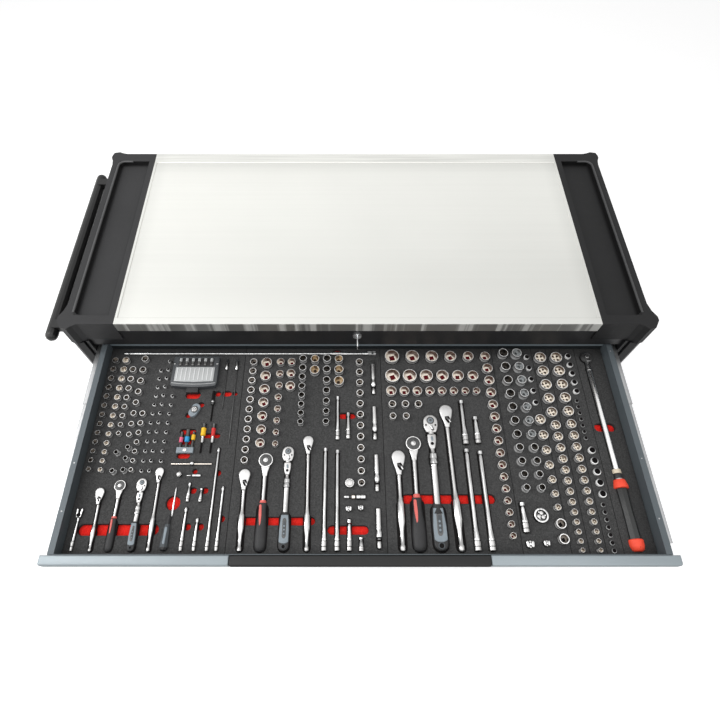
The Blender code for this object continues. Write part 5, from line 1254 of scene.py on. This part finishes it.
# Torque wrench along the right of the drawer: head, bright tube, pale part, collar, red ring, grip, red cap
torqueWrench = {
    "across": 0.964, "lean": 0.0042, "headAlong": 0.060, "headWidth": 0.060,
    # (from, to, half width, finish, sides, turned outline as (share along, share of the half width))
    "partShares": (
        (0.074, 0.130, 0.0150, "chrome", 18,
         (0.0, 0.66), (0.12, 0.92), (0.78, 0.88), (0.80, 1.10), (1.0, 1.16)),
        (0.126, 0.634, 0.0150, "tube", 24, (0.0, 0.86), (0.008, 1.0), (0.985, 1.0), (1.0, 1.04)),
        (0.632, 0.652, 0.0190, "ivory", 24, (0.0, 0.86), (0.08, 0.99), (0.92, 1.0), (1.0, 0.90)),
        (0.651, 0.676, 0.0185, "blackGrip", 24, (0.0, 0.90), (0.1, 0.98), (0.9, 1.0), (1.0, 0.94)),
        (0.675, 0.681, 0.0200, "satin", 24, (0.0, 0.98), (1.0, 1.0)),
        (0.680, 0.719, 0.0320, "orangeGrip", 28,
         (0.0, 0.72), (0.10, 0.82), (0.45, 0.90), (0.80, 1.0), (0.94, 1.0), (1.0, 0.88)),
        (0.718, 0.936, 0.0255, "torqueGrip", 8,
         (0.0, 0.92), (0.03, 1.0), (0.45, 0.90), (0.97, 0.99), (1.0, 0.94)),
        (0.934, 0.983, 0.0310, "orangeGrip", 28,
         (0.0, 0.88), (0.08, 1.0), (0.55, 0.98), (0.84, 0.82), (0.96, 0.62), (1.0, 0.46))),
    "headShares": (
        (centre, 1.0, -4.0, 6.4, "dial", 32), (centre, 0.92, 5.6, 8.4, "dial", 30),
        (centre, 0.66, 7.6, 9.6, "phosphate", 26, 0.56), (centre, 0.30, 7.6, 10.6, "satin", 20),
        (centre, 0.16, 9.0, 11.4, "phosphate", 14),
        (((-0.1, 0.78), (0.3, 0.72)), 0.13, 7.6, 10.4, "chrome", 0.6)),
    "pinAlong": 0.964, "pin": (centre, 2.4, 6.0, 13.1, "hollow", 12),
}
tools = Kit("satin")


def wrenchAcross(along):
    return torqueWrench["across"] + torqueWrench["lean"] * along


for start, end, width, look, sides, *pairs in torqueWrench["partShares"]:
    stations = profile(width * bedDepth, ((look, *pairs),))
    rod(wrenchAcross(start), wrenchAcross(end), start, end, 0.0, stations, sides)
form(bedX(torqueWrench["across"]), bedY(torqueWrench["headAlong"]), torqueWrench["headWidth"] * bedDepth / 2,
     torqueWrench["headShares"])
form(bedX(wrenchAcross(torqueWrench["pinAlong"])), bedY(torqueWrench["pinAlong"]), mm, (torqueWrench["pin"],))
item = tools.finish("torqueWrench", "drawer_1")
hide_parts("torque_wrench")

# Breaker bar across the back of the first two inlays: thin, with a thick middle and a flattened fork at its end
breakerBar = {
    "from": 0.026, "to": 0.539, "forward": 0.032, "thin": 0.0031, "drive": 0.0038, "thick": 0.0047,
    "thickFrom": -0.058, "thickTo": -0.027, "forkFrom": 0.017, "taper": 0.012,
}
tools = Kit("chrome")
start, end, y = bedX(breakerBar["from"]), bedX(breakerBar["to"]), bedY(breakerBar["forward"])
thin, drive, thick, taper = (breakerBar[key] for key in ("thin", "drive", "thick", "taper"))
first, last, fork = ((middleX + breakerBar[key] - start) / (end - start)
                     for key in ("thickFrom", "thickTo", "forkFrom"))
outline = ((0.0, thin * 0.9), (0.006, drive), (0.016, drive), (0.019, thin * 0.8), (0.024, drive * 1.1),
           (0.10, drive * 1.1), (0.12, thin), (first - taper, thin), (first, thick), (last, thick),
           (last + taper, thin), (fork - taper / 2, thin), (fork, thick * 0.96), (1.0, thick * 0.86))
tools.turned([(share, radius, "satin" if share == first else "chrome") for share, radius in outline],
             (start, y, foamTop), (end, y, foamTop), 18)
for tine in (y - 0.0036, y + 0.0036):
    lay(capsule((end - 0.018, tine), (end - 0.002, tine), 0.0017), 0.0046, "satin", 0.0006, -0.0034)
form(end - 0.008, y, mm, ((centre, 2.6, 2.0, 5.0, "phosphate", 14),))
item = tools.finish("breakerBar", "drawer_1")
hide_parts("breaker_bar")

# Bit box: a dark frame with a pale ribbed lid, bits in a row behind it and a latch in front
bitBox = {"ribs": 9, "bits": 6, "bow": 0.004, "lidInset": 0.008, "lidBack": 0.029, "lidFront": 0.012,
          "corner": 0.003,
          "bowShares": (0.03, 0.12, 0.2, 0.28, 0.35, 0.42, 0.5, 0.58, 0.65, 0.72, 0.8, 0.88, 0.97)}
tools = Kit("caseFrame")
left, right, back, near = bedX(0.134), bedX(0.225), bedY(0.062), bedY(0.232)
low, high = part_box("bit_box")[0][2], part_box("bit_box")[1][2]
middle, wide, corner = (left + right) / 2, right - left, bitBox["corner"]
bow = [(left + wide * share, near + bitBox["bow"] * (2 * abs(share - 0.5)) ** 2)
       for share in bitBox["bowShares"]]
outline = bow + [(right, near + 0.010), (right, back - corner), (right - corner, back), (left + corner, back),
                 (left, back - corner), (left, near + 0.010)]
tools.plate(outline, low, high - 0.0030, "caseFrame", 0.0018)
lidLeft, lidRight = left + bitBox["lidInset"], right - bitBox["lidInset"]
lidBack, lidNear = back - bitBox["lidBack"], near + bitBox["lidFront"]
# The bright edge that follows the bow in front of the lid
edge = [(x, y + 0.0062) for x, y in bow] + [(x, y + 0.0076) for x, y in reversed(bow)]
tools.plate(edge, high - 0.0040, high - 0.0024, "caseLid", 0.0003)
lid = [(lidLeft, lidNear + 0.002), (middle, lidNear), (lidRight, lidNear + 0.002), (lidRight, lidBack),
       (lidLeft, lidBack)]
tools.plate(lid, high - 0.0040, high - 0.0012, "caseLid", 0.0010)
for index in range(bitBox["ribs"]):
    across = left + 0.013 + (wide - 0.026) * index / (bitBox["ribs"] - 1)
    rib = capsule((across, lidNear + 0.006), (across, lidBack - 0.004), 0.0013)
    tools.plate(rib, high - 0.0020, high - 0.0003, "caseRib", 0.0006)
tools.plate(oblong(left + 0.012, right - 0.012, lidBack + 0.002, back - 0.006), high - 0.0040, high - 0.0022,
            "blackGrip", 0.0004)
for index in range(bitBox["bits"]):
    across = left + 0.017 + (wide - 0.034) * index / (bitBox["bits"] - 1)
    for behind, look in ((0.0066, "caseLid"), (0.0166, "satin")):
        tools.turned(profile(mm, ((look, (0.0, 2.2), (0.1, 3.4), (0.9, 3.4), (1.0, 2.6)),)),
                     (across, back - behind, high - 0.0018), (across, back - behind - 0.0085, high - 0.0018), 6)
tools.plate(oblong(middle - 0.014, middle + 0.012, near - 0.0120, near + 0.006), foamTop - 0.002, high - 0.0060,
            "blackGrip", 0.0010)
for x in (left + 0.0035, right - 0.0035):
    tools.disc((x, back - 0.020), 0.0022, high - 0.0040, high - 0.0014, "chrome", 12)
item = tools.finish("bitBox", "drawer_1")
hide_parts("bit_box")
print("wrenches and bit box placed")

# Rivets on the top edges of the first drawer's side walls, at (side, forward share)
drawerRivets = {"radius": 0.0015, "inset": 0.0060, "height": 0.0006,
                "placeShares": ((-1, 0.62), (-1, 0.83), (1, 0.05), (1, 0.60), (1, 0.86))}
rivets = Kit("zinc")
for side, along in drawerRivets["placeShares"]:
    spot, height = (middleX + side * (bedHalf + drawerRivets["inset"]), bedY(along)), drawerRivets["height"]
    rivets.disc(spot, drawerRivets["radius"], wallTop - height, wallTop + height, "zinc", 12)
item = rivets.finish("drawerRivets", "drawer_1")

# Stage: pale floor, soft light, and a camera at the photograph's viewing angle
stage = {
    "sky": 0.45, "floorGlow": 0.46, "floorHalf": 40.0, "glint": 0.05,
    # place, what it looks at, width, depth, watts
    "lamps": {"overhead": ((-0.2, -0.7, 3.4), (0.0, -0.2, 0.9), 5.0, 3.6, 70),
              "leftBox": ((-2.9, -0.6, 2.2), (0.0, 0.0, 0.9), 2.4, 2.4, 26),
              "rightBox": ((2.9, -0.8, 2.0), (0.0, 0.0, 0.9), 2.4, 2.4, 3),
              # A narrow lamp that only makes the bright lines along rounded edges
              "edgeStrip": ((-2.2, 0.1, 2.6), (0.0, 0.1, 0.9), 0.2, 2.6, 22)},
    "eye": (-0.00555, -0.65595, 1.95), "tilt": 29.48, "lens": 26.085, "shift": 0.02306, "samples": 220,
}


# 1 for rays from the camera and for its reflections and refractions, 0 for plain light
def seenDirectly(tree):
    path = tree.nodes.new("ShaderNodeLightPath")
    camera, glossy, clear = (Signal(tree, path.outputs["Is " + kind + " Ray"])
                             for kind in ("Camera", "Glossy", "Transmission"))
    return camera.calc("MAXIMUM", camera, camera.calc("MAXIMUM", glossy, clear))


world = bpy.data.worlds.new("studio")
scene.world = world
world.use_nodes = True
tree = world.node_tree
background = tree.nodes["Background"]
tree.links.new((stage["sky"] + (1 - stage["sky"]) * seenDirectly(tree)).socket, background.inputs["Strength"])
background.inputs["Color"].default_value = grey(1.0)

half = stage["floorHalf"]
floorMesh = bpy.data.meshes.new("floor")
floorMesh.from_pydata([(x, y, 0) for x, y in oblong(-half, half, -half, half)], [], [(0, 1, 2, 3)])
floor = bpy.data.objects.new("floor", floorMesh)
scene.collection.objects.link(floor)
floorLook = Surface("paleFloor")
for name, value in (("Base Color", grey(0.86)), ("Roughness", 0.9), ("Specular IOR Level", 0.1),
                    ("Emission Color", grey(1.0)),
                    ("Emission Strength", stage["floorGlow"] * seenDirectly(floorLook.tree))):
    floorLook.set(name, value)
floorMesh.materials.append(floorLook.material)

for name, (spot, target, width, depth, watts) in stage["lamps"].items():
    light = bpy.data.lights.new(name, "AREA")
    light.diffuse_factor = 0.0 if name == "edgeStrip" else 1.0
    light.shape = "RECTANGLE"
    light.size, light.size_y = width, depth
    light.energy = watts
    light.specular_factor = 1.0 if name == "edgeStrip" else stage["glint"]
    lamp = bpy.data.objects.new(name, light)
    scene.collection.objects.link(lamp)
    lamp.location = spot
    lamp.rotation_euler = (Vector(target) - Vector(spot)).to_track_quat("-Z", "Y").to_euler()

lens = bpy.data.cameras.new("camera")
lens.lens = stage["lens"]
lens.sensor_width = 36
lens.shift_x = stage["shift"]
eye = bpy.data.objects.new("camera", lens)
scene.collection.objects.link(eye)
eye.location = stage["eye"]
eye.rotation_euler = (math.radians(stage["tilt"]), 0, 0)
scene.camera = eye
scene.render.resolution_x = 720
scene.render.resolution_y = 720
scene.view_settings.view_transform = "Standard"
scene.render.engine = "CYCLES"
scene.cycles.samples = stage["samples"]
print("stage set")
